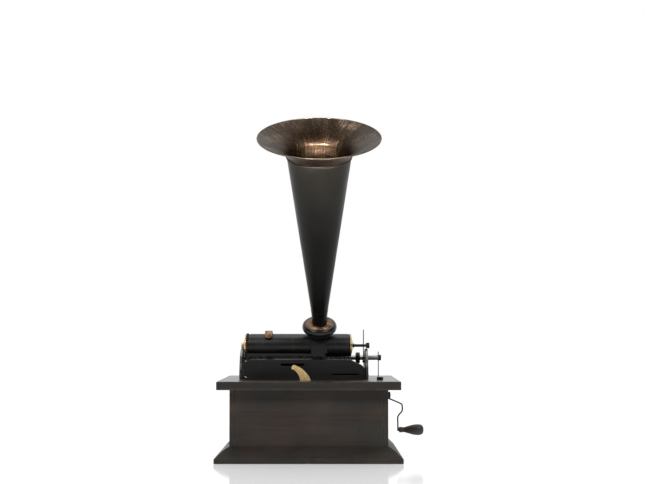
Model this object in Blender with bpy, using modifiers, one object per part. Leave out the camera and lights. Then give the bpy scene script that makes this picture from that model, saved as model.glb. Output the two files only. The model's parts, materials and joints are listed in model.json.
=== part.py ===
"""Wind up cylinder phonograph with a spring motor, in metres, +Z up.

The origin is the centre of the plinth's underside, and the front faces -Y.
Every shaft of the motor and of the upper works runs along X.
"""
from math import atan2, cos, hypot, pi, radians, sin, sqrt

import bmesh
import bpy
from mathutils import Matrix, Vector

# General
GAP = 0.0003                # left between pieces that touch
RUNNING = 0.0001            # radial clearance of a shaft in its bearing

# Cabinet
CASE_WIDTH = 0.276
CASE_DEPTH = 0.184
CASE_TOP = 0.125
BOARD = 0.010
PLINTH_REACH = 0.0245
PLINTH_HEIGHT = 0.0265
BEAD_HEIGHT = 0.010
BOTTOM_THICKNESS = 0.008
DECK_WIDTH = 0.318
DECK_DEPTH = 0.226
DECK_BOTTOM = CASE_TOP + GAP
DECK_TOP = 0.140

# Upper works
HOUSING_LEFT, HOUSING_RIGHT = -0.119, 0.101
HOUSING_FRONT, HOUSING_BACK = -0.030, 0.022
HOUSING_TOP = 0.1750
HOUSING_WALL = 0.0035
PLATE_THICKNESS = 0.0045
LEFT_PLATE_X = -0.12425
RIGHT_PLATE_X = 0.10445
MANDREL_Y, MANDREL_Z = 0.012, 0.200
RECORD_RADIUS = 0.0216
DRUM_RADIUS = 0.0186
RECORD_LEFT, RECORD_RIGHT = -0.1127, 0.074
CAP_DEPTH = 0.0055
ARBOR_RADIUS = 0.0026
ROD_Y, ROD_Z, ROD_RADIUS = 0.070, 0.1760, 0.00475
GUIDE_Y = -0.020
GUIDE_LEFT, GUIDE_RIGHT = -0.114, 0.0290
GUIDE_BOTTOM, GUIDE_TOP = 0.1805, 0.1856

# Gears: module, then tooth counts
MODULE = 0.0015
ADDENDUM, DEDENDUM = 0.6, 0.9
MANDREL_TEETH, FEED_TEETH = 29, 25
WINDING_TEETH, CRANK_TEETH = 45, 12
GREAT_TEETH, SECOND_PINION_TEETH = 45, 9
SECOND_TEETH, THIRD_PINION_TEETH = 24, 9
GEAR_X = -0.1145


def centre_distance(teeth_a, teeth_b):
    return MODULE * (teeth_a + teeth_b) / 2


FEED_Y = 0.045
FEED_Z = MANDREL_Z - sqrt(centre_distance(MANDREL_TEETH, FEED_TEETH) ** 2 - (FEED_Y - MANDREL_Y) ** 2)
SCREW_RADIUS = 0.003

# Motor
BARREL_Y, BARREL_Z = 0.0, 0.066
CRANK_Y = BARREL_Y
CRANK_Z = BARREL_Z + centre_distance(WINDING_TEETH, CRANK_TEETH)
SECOND_ANGLE = radians(25)
SECOND_Y = BARREL_Y + centre_distance(GREAT_TEETH, SECOND_PINION_TEETH) * cos(SECOND_ANGLE)
SECOND_Z = BARREL_Z + centre_distance(GREAT_TEETH, SECOND_PINION_TEETH) * sin(SECOND_ANGLE)
THIRD_REACH = centre_distance(SECOND_TEETH, THIRD_PINION_TEETH)
PULLEY_Y = FEED_Y
PULLEY_Z = SECOND_Z + sqrt(THIRD_REACH ** 2 - (PULLEY_Y - SECOND_Y) ** 2)
GOVERNOR_ANGLE = radians(-40)
GOVERNOR_Y = SECOND_Y + THIRD_REACH * cos(GOVERNOR_ANGLE)
GOVERNOR_Z = SECOND_Z + THIRD_REACH * sin(GOVERNOR_ANGLE)
MOTOR_LEFT_X, MOTOR_RIGHT_X, MOTOR_SHEET = 0.019, 0.083, 0.002
MOTOR_FRONT, MOTOR_BACK, MOTOR_FOOT = -0.062, 0.078, 0.036
MOTOR_TOP = DECK_BOTTOM - GAP
SMALL_ARBOR, LARGE_ARBOR = 0.0025, 0.004
GREAT_X, SECOND_WHEEL_X, WINDING_X, RATCHET_X = 0.0245, 0.0635, 0.0695, 0.0755
GREAT_WIDTH = 0.0046
BARREL_RADIUS, BARREL_LEFT, BARREL_RIGHT, BARREL_WALL = 0.030, 0.0266, 0.057, 0.0015
BELT_X, PULLEY_RADIUS, GROOVE_RADIUS = 0.090, 0.010, 0.0078
BELT_THICKNESS, BELT_WIDTH, PULLEY_WIDTH, FLANGE = 0.002, 0.005, 0.008, 0.001
RATCHET_TEETH, RATCHET_RADIUS, RATCHET_STEP = 15, 0.012, 0.0022

# Crank
ARM_CLEAR_X = 0.1617        # the wire passes outside the deck's end
ARM_BULGE_X = 0.1700
CRANK_REACH = 0.0625
WIRE_RADIUS = 0.0014
GRIP_RADIUS = 0.010
GRIP_LENGTH = 0.045

# Carriage, reproducer and horn
CARRIAGE_LEFT, CARRIAGE_RIGHT = 0.003, 0.0318
ARCH_INNER, ARCH_OUTER = 0.024, 0.0285
BUSH_OUTER = 0.0064
SLEEVE_OUTER = 0.0095
SOUND_X = 0.0182            # centre line of the reproducer and the horn
SOUND_TILT = radians(30.8)
SOUND_AXIS = Vector((0, -sin(SOUND_TILT), cos(SOUND_TILT)))
DISC_TOP, DISC_THICKNESS, DISC_RADIUS = 0.0464, 0.0130, 0.0315
HORN_TIP_RADIUS, HORN_NECK_RADIUS, HORN_MOUTH_RADIUS = 0.0132, 0.0541, 0.1026
HORN_NECK, HORN_MOUTH = 0.3230, 0.3560
HORN_WALL = 0.0012

# Controls
LEVER_X, LEVER_Y, LEVER_Z = -0.007, -0.075, 0.112
LEVER_SHEET = 0.002
SPEED_X, SPEED_Y = 0.1255, -0.062
ROCKER_Y, ROCKER_Z = -0.030, 0.098
CATCH_X, CATCH_WIDTH = -0.0755, 0.013
GATE_X, GATE_SHEET, GATE_Z = 0.0995, 0.0014, 0.171

X_AXIS = Vector((1, 0, 0))
Z_AXIS = Vector((0, 0, 1))
FLAT = Matrix.Identity(3)
FACING_X = Matrix(((0, 0, 1), (1, 0, 0), (0, 1, 0)))    # a plate's own x, y run along Y, Z
FACING_Y = Matrix(((1, 0, 0), (0, 0, -1), (0, 1, 0)))   # a plate's own x, y run along X, Z

# Colour, roughness and metallic value of each material
FINISHES = {
    "stained_wood": ((0.030, 0.022, 0.019), 0.55, 0.0),
    "plain_wood": ((0.30, 0.19, 0.10), 0.70, 0.0),
    "black_iron": ((0.022, 0.021, 0.020), 0.50, 0.3),
    "black_tin": ((0.020, 0.018, 0.016), 0.40, 0.3),
    "bronze": ((0.20, 0.13, 0.07), 0.38, 1.0),
    "brass": ((0.60, 0.38, 0.16), 0.35, 1.0),
    "steel": ((0.45, 0.44, 0.42), 0.32, 1.0),
    "wax": ((0.018, 0.016, 0.015), 0.45, 0.0),
    "leather": ((0.16, 0.08, 0.04), 0.75, 0.0),
    "mica": ((0.55, 0.50, 0.42), 0.25, 0.0),
}


# Helpers

def clear_scene():
    for item in list(bpy.data.objects):
        bpy.data.objects.remove(item, do_unlink=True)


def new_collection(name):
    collection = bpy.data.collections.new(name)
    bpy.context.scene.collection.children.link(collection)
    return collection


def make_material(name, finish):
    colour, roughness, metallic = FINISHES[finish]
    material = bpy.data.materials.new(name)
    material.use_nodes = True
    shader = material.node_tree.nodes["Principled BSDF"]
    shader.inputs["Base Color"].default_value = (*colour, 1.0)
    shader.inputs["Roughness"].default_value = roughness
    shader.inputs["Metallic"].default_value = metallic
    material.diffuse_color = (*colour, 1.0)
    return material


def place(name, data, finish, location=(0, 0, 0), turn=FLAT):
    """Add an object to the phonograph, or to the cutters when it has no finish."""
    item = bpy.data.objects.new(name, data)
    item.matrix_world = Matrix.Translation(location) @ Matrix(turn).to_4x4()
    if finish is None:
        item.hide_render = True
        item.display_type = "WIRE"
        CUTTERS.objects.link(item)
    else:
        data.materials.append(make_material(name, finish))
        PARTS.objects.link(item)
    return item


def bevel(item, width):
    """Round an object's sharp edges."""
    modifier = item.modifiers.new("Bevel", "BEVEL")
    modifier.width = width
    modifier.segments = 2
    modifier.limit_method = "ANGLE"
    modifier.angle_limit = radians(40)


def combine(item, tool, operation="DIFFERENCE"):
    """Cut a tool out of an object, or join the tool to it."""
    modifier = item.modifiers.new(tool.name, "BOOLEAN")
    modifier.operation = operation
    modifier.solver = "EXACT"
    modifier.object = tool


def box(name, low, high, finish, edge=0.0):
    """Block between two corners."""
    low, high = Vector(low), Vector(high)
    mesh = bpy.data.meshes.new(name)
    shape = bmesh.new()
    bmesh.ops.create_cube(shape, size=1.0)
    bmesh.ops.scale(shape, vec=high - low, verts=shape.verts)
    shape.to_mesh(mesh)
    shape.free()
    item = place(name, mesh, finish, (low + high) / 2)
    if edge:
        bevel(item, edge)
    return item


def turned(name, profile, finish, location=(0, 0, 0), axis=X_AXIS, steps=20, ring=False):
    """Solid of revolution: (radius, height) points from the top down the outer side."""
    mesh = bpy.data.meshes.new(name)
    shape = bmesh.new()
    points = [shape.verts.new((radius, 0, height)) for radius, height in profile]
    for first, second in zip(points, points[1:]):
        shape.edges.new((first, second))
    if ring:
        shape.edges.new((points[-1], points[0]))
    shape.to_mesh(mesh)
    shape.free()
    turn = Z_AXIS.rotation_difference(axis).to_matrix()
    item = place(name, mesh, finish, location, turn)
    screw = item.modifiers.new("Turn", "SCREW")
    screw.steps = steps
    screw.render_steps = steps
    screw.use_merge_vertices = True
    screw.merge_threshold = 0.00001
    screw.use_smooth_shade = True
    return item


def rod(name, radius, start, end, finish, location, axis=X_AXIS, steps=20):
    profile = [(0, end), (radius, end), (radius, start), (0, start)]
    return turned(name, profile, finish, location, axis, steps)


def tube(name, outer, inner, start, end, finish, location, axis=X_AXIS, steps=20):
    profile = [(outer, end), (outer, start), (inner, start), (inner, end)]
    return turned(name, profile, finish, location, axis, steps, ring=True)


def arc(centre, radius, start, end, count, radius_v=None):
    """Points of an arc, or of an ellipse's arc when a second radius is given; angles in degrees."""
    radius_v = radius if radius_v is None else radius_v
    angles = [radians(start + (end - start) * step / count) for step in range(count + 1)]
    return [(centre[0] + radius * cos(angle), centre[1] + radius_v * sin(angle)) for angle in angles]


def circle(centre, radius, count=20):
    return arc(centre, radius, 0, 360, count)[:-1]


def plate(name, outline, thickness, finish, middle, turn=FACING_X, holes=()):
    """Flat sheet with an outline and holes, its thickness centred on the middle point."""
    curve = bpy.data.curves.new(name, "CURVE")
    curve.dimensions = "2D"
    curve.fill_mode = "BOTH"
    curve.extrude = thickness / 2
    for loop in (outline, *holes):
        spline = curve.splines.new("POLY")
        spline.points.add(len(loop) - 1)
        for point, (u, v) in zip(spline.points, loop):
            point.co = (u, v, 0, 1)
        spline.use_cyclic_u = True
    return as_mesh(place(name, curve, finish, middle, turn))


def as_mesh(item):
    """Turn a curve object into a welded mesh object of the same name and place."""
    bpy.context.view_layer.update()
    graph = bpy.context.evaluated_depsgraph_get()
    mesh = bpy.data.meshes.new_from_object(item.evaluated_get(graph))
    shape = bmesh.new()
    shape.from_mesh(mesh)
    bmesh.ops.remove_doubles(shape, verts=shape.verts, dist=0.000001)
    bmesh.ops.recalc_face_normals(shape, faces=shape.faces)
    shape.to_mesh(mesh)
    shape.free()
    name, matrix, home = item.name, item.matrix_world.copy(), item.users_collection[0]
    hidden, display = item.hide_render, item.display_type
    bpy.data.objects.remove(item, do_unlink=True)
    solid = bpy.data.objects.new(name, mesh)
    solid.matrix_world = matrix
    solid.hide_render = hidden
    solid.display_type = display
    home.objects.link(solid)
    return solid


def gear_outline(teeth, phase):
    """Outline of a gear whose first tooth is centred on the phase angle."""
    radius = MODULE * teeth / 2
    root, tip = radius - DEDENDUM * MODULE, radius + ADDENDUM * MODULE
    pitch = 2 * pi / teeth
    corners = ((-0.30, root), (-0.14, tip), (0.14, tip), (0.30, root))
    outline = []
    for tooth in range(teeth):
        for share, reach in corners:
            angle = phase + (tooth + share) * pitch
            outline.append((reach * cos(angle), reach * sin(angle)))
    return outline


def meshing_phase(mate_teeth, mate_phase, teeth, direction):
    """Phase of a gear that lies from its mate along a direction, gap against tooth."""
    lead = (mate_phase - direction) % (2 * pi / mate_teeth)
    return direction + pi - lead * mate_teeth / teeth + pi / teeth


def gear(name, teeth, phase, x, y, z, width, finish, bore=None):
    holes = [circle((0, 0), bore)] if bore else []
    return plate(name, gear_outline(teeth, phase), width, finish, (x, y, z), FACING_X, holes)


# Cabinet

def moulding_profile():
    """(reach, height) points: a chamfered bead below and a shallow slope up to the case."""
    chamfer = 0.0022
    slope = [(PLINTH_REACH - chamfer, BEAD_HEIGHT), (0.0130, 0.0190), (0.0030, 0.0258)]
    return [(GAP, 0), (PLINTH_REACH, 0), (PLINTH_REACH, BEAD_HEIGHT - chamfer), *slope, (GAP, PLINTH_HEIGHT)]


def moulding(name, start, end, mitres, location, heading):
    """Plinth moulding along its own x; a mitred end runs out at 45 degrees with its reach."""
    mesh = bpy.data.meshes.new(name)
    shape = bmesh.new()
    face = shape.faces.new([shape.verts.new((0, reach, height)) for reach, height in moulding_profile()])
    grown = bmesh.ops.extrude_face_region(shape, geom=[face])
    far = {part for part in grown["geom"] if isinstance(part, bmesh.types.BMVert)}
    for vert in shape.verts:
        if vert in far:
            vert.co.x = end + (vert.co.y - GAP if mitres[1] else 0)
        else:
            vert.co.x = start - (vert.co.y - GAP if mitres[0] else 0)
    bmesh.ops.recalc_face_normals(shape, faces=shape.faces)
    shape.to_mesh(mesh)
    shape.free()
    place(name, mesh, "stained_wood", location, Matrix.Rotation(heading, 3, "Z"))


def make_plinth():
    half_width, half_depth = CASE_WIDTH / 2, CASE_DEPTH / 2
    front, back = (0, -half_depth, 0), (0, half_depth, 0)
    moulding("plinth_front_left", GAP / 2, half_width, (False, True), front, pi)
    moulding("plinth_front_right", -half_width, -GAP / 2, (True, False), front, pi)
    moulding("plinth_back", -half_width, half_width, (True, True), back, 0)
    moulding("plinth_left", -half_depth, half_depth, (True, True), (-half_width, 0, 0), pi / 2)
    moulding("plinth_right", -half_depth, half_depth, (True, True), (half_width, 0, 0), -pi / 2)


def make_case():
    half_width, half_depth = CASE_WIDTH / 2, CASE_DEPTH / 2
    side = half_depth - BOARD - GAP
    inside = half_width - BOARD - GAP
    for name, near, far in (("case_front", -half_depth, -half_depth + BOARD),
                            ("case_back", half_depth - BOARD, half_depth)):
        box(name, (-half_width, near, 0), (half_width, far, CASE_TOP), "stained_wood")
    box("case_left", (-half_width, -side, 0), (-half_width + BOARD, side, CASE_TOP), "stained_wood")
    right = box("case_right", (half_width - BOARD, -side, 0), (half_width, side, CASE_TOP), "stained_wood")
    hole = rod("crank_hole", 0.0063, half_width - 2 * BOARD, half_width + BOARD, None,
               (0, CRANK_Y, CRANK_Z))
    combine(right, hole)
    box("bottom_board", (-inside, -side, 0), (inside, side, BOTTOM_THICKNESS), "plain_wood")


def make_deck():
    low = (-DECK_WIDTH / 2, -DECK_DEPTH / 2, DECK_BOTTOM)
    high = (DECK_WIDTH / 2, DECK_DEPTH / 2, DECK_TOP)
    deck = box("deck_board", low, high, "stained_wood", 0.0012)
    below, above = DECK_BOTTOM - BOARD, DECK_TOP + BOARD
    combine(deck, box("lever_slot", (-0.023, -0.0770, below), (0.021, -0.0730, above), None))
    combine(deck, box("belt_slot", (0.084, 0.031, below), (0.096, 0.059, above), None))
    combine(deck, rod("speed_hole", 0.0023, below, above, None, (SPEED_X, SPEED_Y, 0), Z_AXIS))


# Upper works

def housing_outline(inset):
    """Front view of the housing, moved inwards by the inset at its sides and top."""
    left, right = HOUSING_LEFT + inset, HOUSING_RIGHT - inset
    top = HOUSING_TOP - inset
    foot = DECK_TOP + GAP - (BOARD if inset else 0)
    return [(left, foot), (left, top), (0.0737 - inset / 2, top), (0.0963 - inset, 0.164 - inset / 2),
            (right, 0.159), (right, foot)]


def make_housing():
    depth = HOUSING_BACK - HOUSING_FRONT
    middle = (0, (HOUSING_FRONT + HOUSING_BACK) / 2, 0)
    housing = plate("housing", housing_outline(0), depth, "black_iron", middle, FACING_Y)
    hollow = plate("housing_hollow", housing_outline(HOUSING_WALL), depth - 2 * HOUSING_WALL, None,
                   middle, FACING_Y)
    combine(housing, hollow)
    reach = 2 * HOUSING_WALL
    slots = (("upper_slot", -0.051, -0.0095, 0.1639, 0.1677), ("lower_slot", 0.041, 0.088, 0.1469, 0.1491))
    front, back = HOUSING_FRONT - reach, HOUSING_FRONT + reach
    for name, left, right, low, high in slots:
        combine(housing, box(name, (left, front, low), (right, back, high), None))


def end_plate_outline(top):
    """Side view of an end plate: a rounded front edge and a round corner over the back rod."""
    shoulder = 0.148
    front = arc((MANDREL_Y, shoulder), 0.044, 180, 90, 8, top - shoulder)
    corner = arc((ROD_Y, ROD_Z), 0.011, 80, 0, 4)
    foot = DECK_TOP + GAP
    return [(MANDREL_Y - 0.044, foot), *front, (MANDREL_Y + 0.008, top), *corner, (ROD_Y + 0.014, foot)]


def make_end_plates():
    seats = [circle((ROD_Y, ROD_Z), ROD_RADIUS + GAP), circle((FEED_Y, FEED_Z), SCREW_RADIUS + RUNNING)]
    top = MANDREL_Z - 0.0055
    plate("left_end_plate", end_plate_outline(top), PLATE_THICKNESS, "black_iron", (LEFT_PLATE_X, 0, 0),
          holes=seats)
    pivot = circle((MANDREL_Y, GATE_Z), 0.002 + RUNNING)
    plate("right_end_plate", end_plate_outline(top - 0.0002), PLATE_THICKNESS, "black_iron",
          (RIGHT_PLATE_X, 0, 0), holes=[*seats, pivot])
    start, end = LEFT_PLATE_X - PLATE_THICKNESS / 2, LEFT_PLATE_X + PLATE_THICKNESS / 2
    tube("arbor_bush", 0.0052, ARBOR_RADIUS + RUNNING, start, end, "brass", (0, MANDREL_Y, MANDREL_Z))


def make_guide_bar():
    """Bar that the carriage's foot rests on, with a leg at each end and a rounded right shoulder."""
    left_leg, right_leg, foot = 0.005, 0.0038, HOUSING_TOP + GAP
    outer, inner = 0.0045, 0.0012
    shoulder = arc((GUIDE_RIGHT - outer, GUIDE_TOP - outer), outer, 90, 0, 5)
    armpit = arc((GUIDE_RIGHT - right_leg - inner, GUIDE_BOTTOM - inner), inner, 0, 90, 3)
    outline = [(GUIDE_LEFT, foot), (GUIDE_LEFT, GUIDE_TOP), *shoulder, (GUIDE_RIGHT, foot),
               (GUIDE_RIGHT - right_leg, foot), *armpit,
               (GUIDE_LEFT + left_leg, GUIDE_BOTTOM), (GUIDE_LEFT + left_leg, foot)]
    plate("guide_bar", outline, 0.006, "black_iron", (0, GUIDE_Y, 0), FACING_Y)


def make_back_rod():
    """Rod that the carriage slides on, with a knob turned on its right end, and its end post."""
    left, knob, right = LEFT_PLATE_X - PLATE_THICKNESS / 2, 0.1315, 0.1357
    profile = [(0, right), (0.0038, right), (0.0056, right - 0.001), (0.0056, knob), (ROD_RADIUS, knob),
               (ROD_RADIUS, left), (0, left)]
    turned("back_rod", profile, "steel", (0, ROD_Y, ROD_Z))
    stem, foot, post_top = 0.003, DECK_TOP + GAP, 0.1875
    outline = [(ROD_Y - stem, foot), *arc((ROD_Y, ROD_Z), 0.0075, 246, 110, 8), (ROD_Y - 0.001, post_top),
               (ROD_Y + 0.001, post_top), *arc((ROD_Y, ROD_Z), 0.0075, 70, -66, 8), (ROD_Y + stem, foot)]
    hole = circle((ROD_Y, ROD_Z), ROD_RADIUS + GAP)
    plate("rod_post", outline, 0.0016, "steel", (knob - 0.0012, 0, 0), holes=[hole])


# Mandrel and feed screw

def make_mandrel():
    centre = (0, MANDREL_Y, MANDREL_Z)
    start, end = LEFT_PLATE_X - PLATE_THICKNESS / 2, 0.1037
    rod("mandrel_arbor", ARBOR_RADIUS, start, end, "black_iron", centre)
    bore = ARBOR_RADIUS + GAP
    tube("mandrel_drum", DRUM_RADIUS, bore, RECORD_LEFT, RECORD_RIGHT, "black_tin", centre, steps=24)
    tube("record_cylinder", RECORD_RADIUS, DRUM_RADIUS + GAP, RECORD_LEFT, RECORD_RIGHT, "wax", centre,
         steps=32)
    phase = atan2(FEED_Z - MANDREL_Z, FEED_Y - MANDREL_Y)
    gear("mandrel_gear", MANDREL_TEETH, phase, GEAR_X, MANDREL_Y, MANDREL_Z, 0.003, "brass", bore)
    left_inner = GEAR_X - 0.0015 - GAP
    dome = [(bore, CAP_DEPTH), (0.008, CAP_DEPTH), (0.016, 0.0045), (0.0205, 0.0025), (RECORD_RADIUS, 0),
            (bore, 0)]
    mirrored = [(radius, -height) for radius, height in reversed(dome)]
    turned("right_end_cap", dome, "brass", (RECORD_RIGHT + GAP, MANDREL_Y, MANDREL_Z), steps=24, ring=True)
    turned("left_end_cap", mirrored, "brass", (left_inner, MANDREL_Y, MANDREL_Z), steps=24, ring=True)
    rod("arbor_knob", 0.0052, 0.104, 0.1105, "black_iron", centre)


def pulley(name, bore, finish, y, z):
    """Flanged belt pulley; its bore may be smaller than the shaft that it is joined to."""
    half, groove = PULLEY_WIDTH / 2, PULLEY_WIDTH / 2 - FLANGE
    profile = [(PULLEY_RADIUS, half), (PULLEY_RADIUS, groove), (GROOVE_RADIUS, groove),
               (GROOVE_RADIUS, -groove), (PULLEY_RADIUS, -groove), (PULLEY_RADIUS, -half),
               (bore, -half), (bore, half)]
    return turned(name, profile, finish, (BELT_X, y, z), ring=True)


def make_feed():
    start, end = LEFT_PLATE_X - PLATE_THICKNESS / 2, RIGHT_PLATE_X + PLATE_THICKNESS / 2
    rod("feed_screw", SCREW_RADIUS, start, end, "steel", (0, FEED_Y, FEED_Z))
    bore = SCREW_RADIUS + GAP
    direction = atan2(FEED_Z - MANDREL_Z, FEED_Y - MANDREL_Y)
    phase = meshing_phase(MANDREL_TEETH, direction, FEED_TEETH, direction)
    gear("feed_gear", FEED_TEETH, phase, GEAR_X, FEED_Y, FEED_Z, 0.003, "brass", bore)
    pulley("feed_pulley", bore, "black_iron", FEED_Y, FEED_Z)
    loops = []
    for radius in (GROOVE_RADIUS + GAP + BELT_THICKNESS, GROOVE_RADIUS + GAP):
        over_feed = arc((FEED_Y, FEED_Z), radius, 0, 180, 12)
        under_drum = arc((PULLEY_Y, PULLEY_Z), radius, 180, 360, 12)
        loops.append([*over_feed, *under_drum])
    plate("drive_belt", loops[0], BELT_WIDTH, "leather", (BELT_X, 0, 0), holes=loops[1:])


# Carriage, reproducer and horn

def sound_point(distance):
    """Point on the reproducer's axis, at a distance from the mandrel's axis."""
    return Vector((SOUND_X, MANDREL_Y, MANDREL_Z)) + SOUND_AXIS * distance


def make_carriage():
    length = CARRIAGE_RIGHT - CARRIAGE_LEFT
    middle = ((CARRIAGE_LEFT + CARRIAGE_RIGHT) / 2, 0, 0)
    rod_centre = (0, ROD_Y, ROD_Z)
    bore = ROD_RADIUS + RUNNING
    tube("carriage_bush", BUSH_OUTER, bore, CARRIAGE_LEFT, CARRIAGE_RIGHT, "brass", rod_centre)
    mandrel = (MANDREL_Y, MANDREL_Z)
    foot = GUIDE_TOP + GAP
    skirt_out, skirt_in = MANDREL_Y - ARCH_OUTER - 0.0013, MANDREL_Y - ARCH_INNER - 0.0020
    outline = [(skirt_in, foot), *arc(mandrel, ARCH_INNER, 180, 30, 12), (0.052, 0.184),
               *arc((ROD_Y, ROD_Z), SLEEVE_OUTER, 160, 410, 14), (0.038, 0.2215),
               *arc(mandrel, ARCH_OUTER, 50, 180, 12),
               (skirt_out, foot + 0.004), (GUIDE_Y - 0.003, foot + 0.004), (GUIDE_Y - 0.003, foot)]
    hole = circle((ROD_Y, ROD_Z), BUSH_OUTER + RUNNING)
    arm = plate("carriage_arm", outline, length, "black_iron", middle, holes=[hole])
    seat_top = DISC_TOP - DISC_THICKNESS - GAP
    neck = [(0, seat_top), (0.026, seat_top), (0.026, seat_top - 0.0025), (0.0136, seat_top - 0.005),
            (0.0136, 0.0262), (0, 0.0262)]
    combine(arm, turned("reproducer_seat", neck, None, sound_point(0), SOUND_AXIS), "UNION")
    combine(arm, rod("stylus_way", 0.007, 0.015, seat_top + BOARD, None, sound_point(0), SOUND_AXIS))
    outline = [*arc((FEED_Y, FEED_Z), SCREW_RADIUS + GAP, 180, 0, 8), (FEED_Y + 0.0055, FEED_Z),
               (FEED_Y + 0.0055, 0.1855), (FEED_Y - 0.0055, 0.2014), (FEED_Y - 0.0055, FEED_Z)]
    plate("half_nut", outline, 0.012, "brass", middle)


def make_reproducer():
    low, high = DISC_TOP - DISC_THICKNESS, DISC_TOP
    middle, edge = (low + high) / 2, 0.0035
    rim = arc((DISC_RADIUS - edge, middle), edge, 90, -90, 6, DISC_THICKNESS / 2)
    cup = 0.0225
    profile = [(0.0060, high), *rim, (cup, low), (cup, low + 0.006), (0.0060, low + 0.006)]
    turned("reproducer_body", profile, "black_iron", sound_point(0), SOUND_AXIS, 28, ring=True)
    face_low = high + GAP
    neck = 0.0115
    profile = [(neck, face_low + 0.008), (neck, face_low + 0.002), (0.0235, face_low + 0.0012),
               (0.0247, face_low), (0.0055, face_low), (0.0055, face_low + 0.008)]
    turned("reproducer_face", profile, "brass", sound_point(0), SOUND_AXIS, 24, ring=True)
    rod("diaphragm", cup - GAP, low + 0.0030, low + 0.0036, "mica", sound_point(0), SOUND_AXIS)
    profile = [(0, low + 0.0027), (0.0035, low + 0.0027), (0.0035, low + 0.0015), (0.0010, low),
               (0.0010, RECORD_RADIUS + 0.003), (0, RECORD_RADIUS + GAP)]
    turned("stylus_bar", profile, "steel", sound_point(0), SOUND_AXIS, 12)


def shell(outer, wall):
    """Closed profile of a thin wall inside a line of (radius, height) points, top to bottom."""
    return [*outer, *[(radius - wall, height) for radius, height in reversed(outer)]]


def make_horn():
    base = sound_point(DISC_TOP)
    tip = 0.0028
    cone = [(HORN_NECK_RADIUS, HORN_NECK), (0.0153, 0.029), (HORN_TIP_RADIUS, tip)]
    turned("horn_cone", shell(cone, HORN_WALL), "black_tin", base, SOUND_AXIS, 32, ring=True)
    flare = []
    start = HORN_NECK + GAP
    for step in range(7):
        share = 1 - step / 6
        radius = HORN_NECK_RADIUS + (HORN_MOUTH_RADIUS - HORN_NECK_RADIUS) * share
        flare.append((radius, start + (HORN_MOUTH - start) * share ** 0.62))
    turned("horn_bell", shell(flare, HORN_WALL), "bronze", base, SOUND_AXIS, 32, ring=True)


def make_catch():
    """Brass finger over the record, hinged on the back rod."""
    mandrel = (MANDREL_Y, MANDREL_Z)
    inner, outer = 0.0253, 0.0277
    outline = [*arc(mandrel, inner, 149, 30, 10), (0.0605, 0.1815), *arc((ROD_Y, ROD_Z), 0.008, 160, 410, 12),
               *arc(mandrel, outer, 35, 149, 10)]
    plate("record_catch", outline, CATCH_WIDTH, "brass", (CATCH_X, 0, 0),
          holes=[circle((ROD_Y, ROD_Z), ROD_RADIUS + RUNNING)])


def make_gate():
    """Swinging arm whose open notch carries the mandrel arbor's right end."""
    front, back = MANDREL_Y - 0.004, MANDREL_Y + 0.0055
    notch = arc((MANDREL_Y, MANDREL_Z), ARBOR_RADIUS + RUNNING, 90, -90, 8)
    outline = [*arc((MANDREL_Y, GATE_Z), 0.0045, 180, 360, 8), (back, 0.190), (back, 0.210),
               (MANDREL_Y + 0.003, 0.2285), (MANDREL_Y, 0.2296), (MANDREL_Y - 0.003, 0.2285),
               (front, 0.210), (front, MANDREL_Z + 0.0035), *notch, (front, MANDREL_Z - 0.0035)]
    gate = plate("end_gate", outline, GATE_SHEET, "steel", (GATE_X, 0, 0))
    pin = rod("gate_pin", 0.002, GATE_X - 0.002, RIGHT_PLATE_X + PLATE_THICKNESS / 2, None,
              (0, MANDREL_Y, GATE_Z), steps=16)
    combine(gate, pin, "UNION")


# Controls

def make_start_lever():
    outer = arc((-0.0400, 0.1227), 0.0467, 22, 70, 8)
    end = arc((-0.0258, 0.1620), 0.0050, 80, 215, 7)
    inner = arc((-0.0420, 0.1369), 0.0266, 57, 12, 6)
    hub = arc((LEVER_X, LEVER_Z), 0.0075, 190, 350, 6)
    plate("start_lever", [*outer, *end, *inner, *hub], LEVER_SHEET, "brass", (0, LEVER_Y, 0), FACING_Y)
    shaft_start = LEVER_Y + LEVER_SHEET / 2 + GAP
    drum_foot = PULLEY_Z - 0.008 - GAP
    outline = [(LEVER_X - 0.005, LEVER_Z + 0.004), (LEVER_X + 0.005, LEVER_Z + 0.004), (0.002, drum_foot),
               (0.014, drum_foot), (0.014, drum_foot - 0.004), (-0.004, drum_foot - 0.004),
               (LEVER_X - 0.005, LEVER_Z - 0.004)]
    arm = plate("brake_arm", outline, 0.004, "steel", (0, PULLEY_Y, 0), FACING_Y)
    shaft = rod("brake_shaft", 0.003, shaft_start, PULLEY_Y + 0.003, None, (LEVER_X, 0, LEVER_Z),
                Vector((0, 1, 0)), 16)
    combine(arm, shaft, "UNION")


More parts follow.
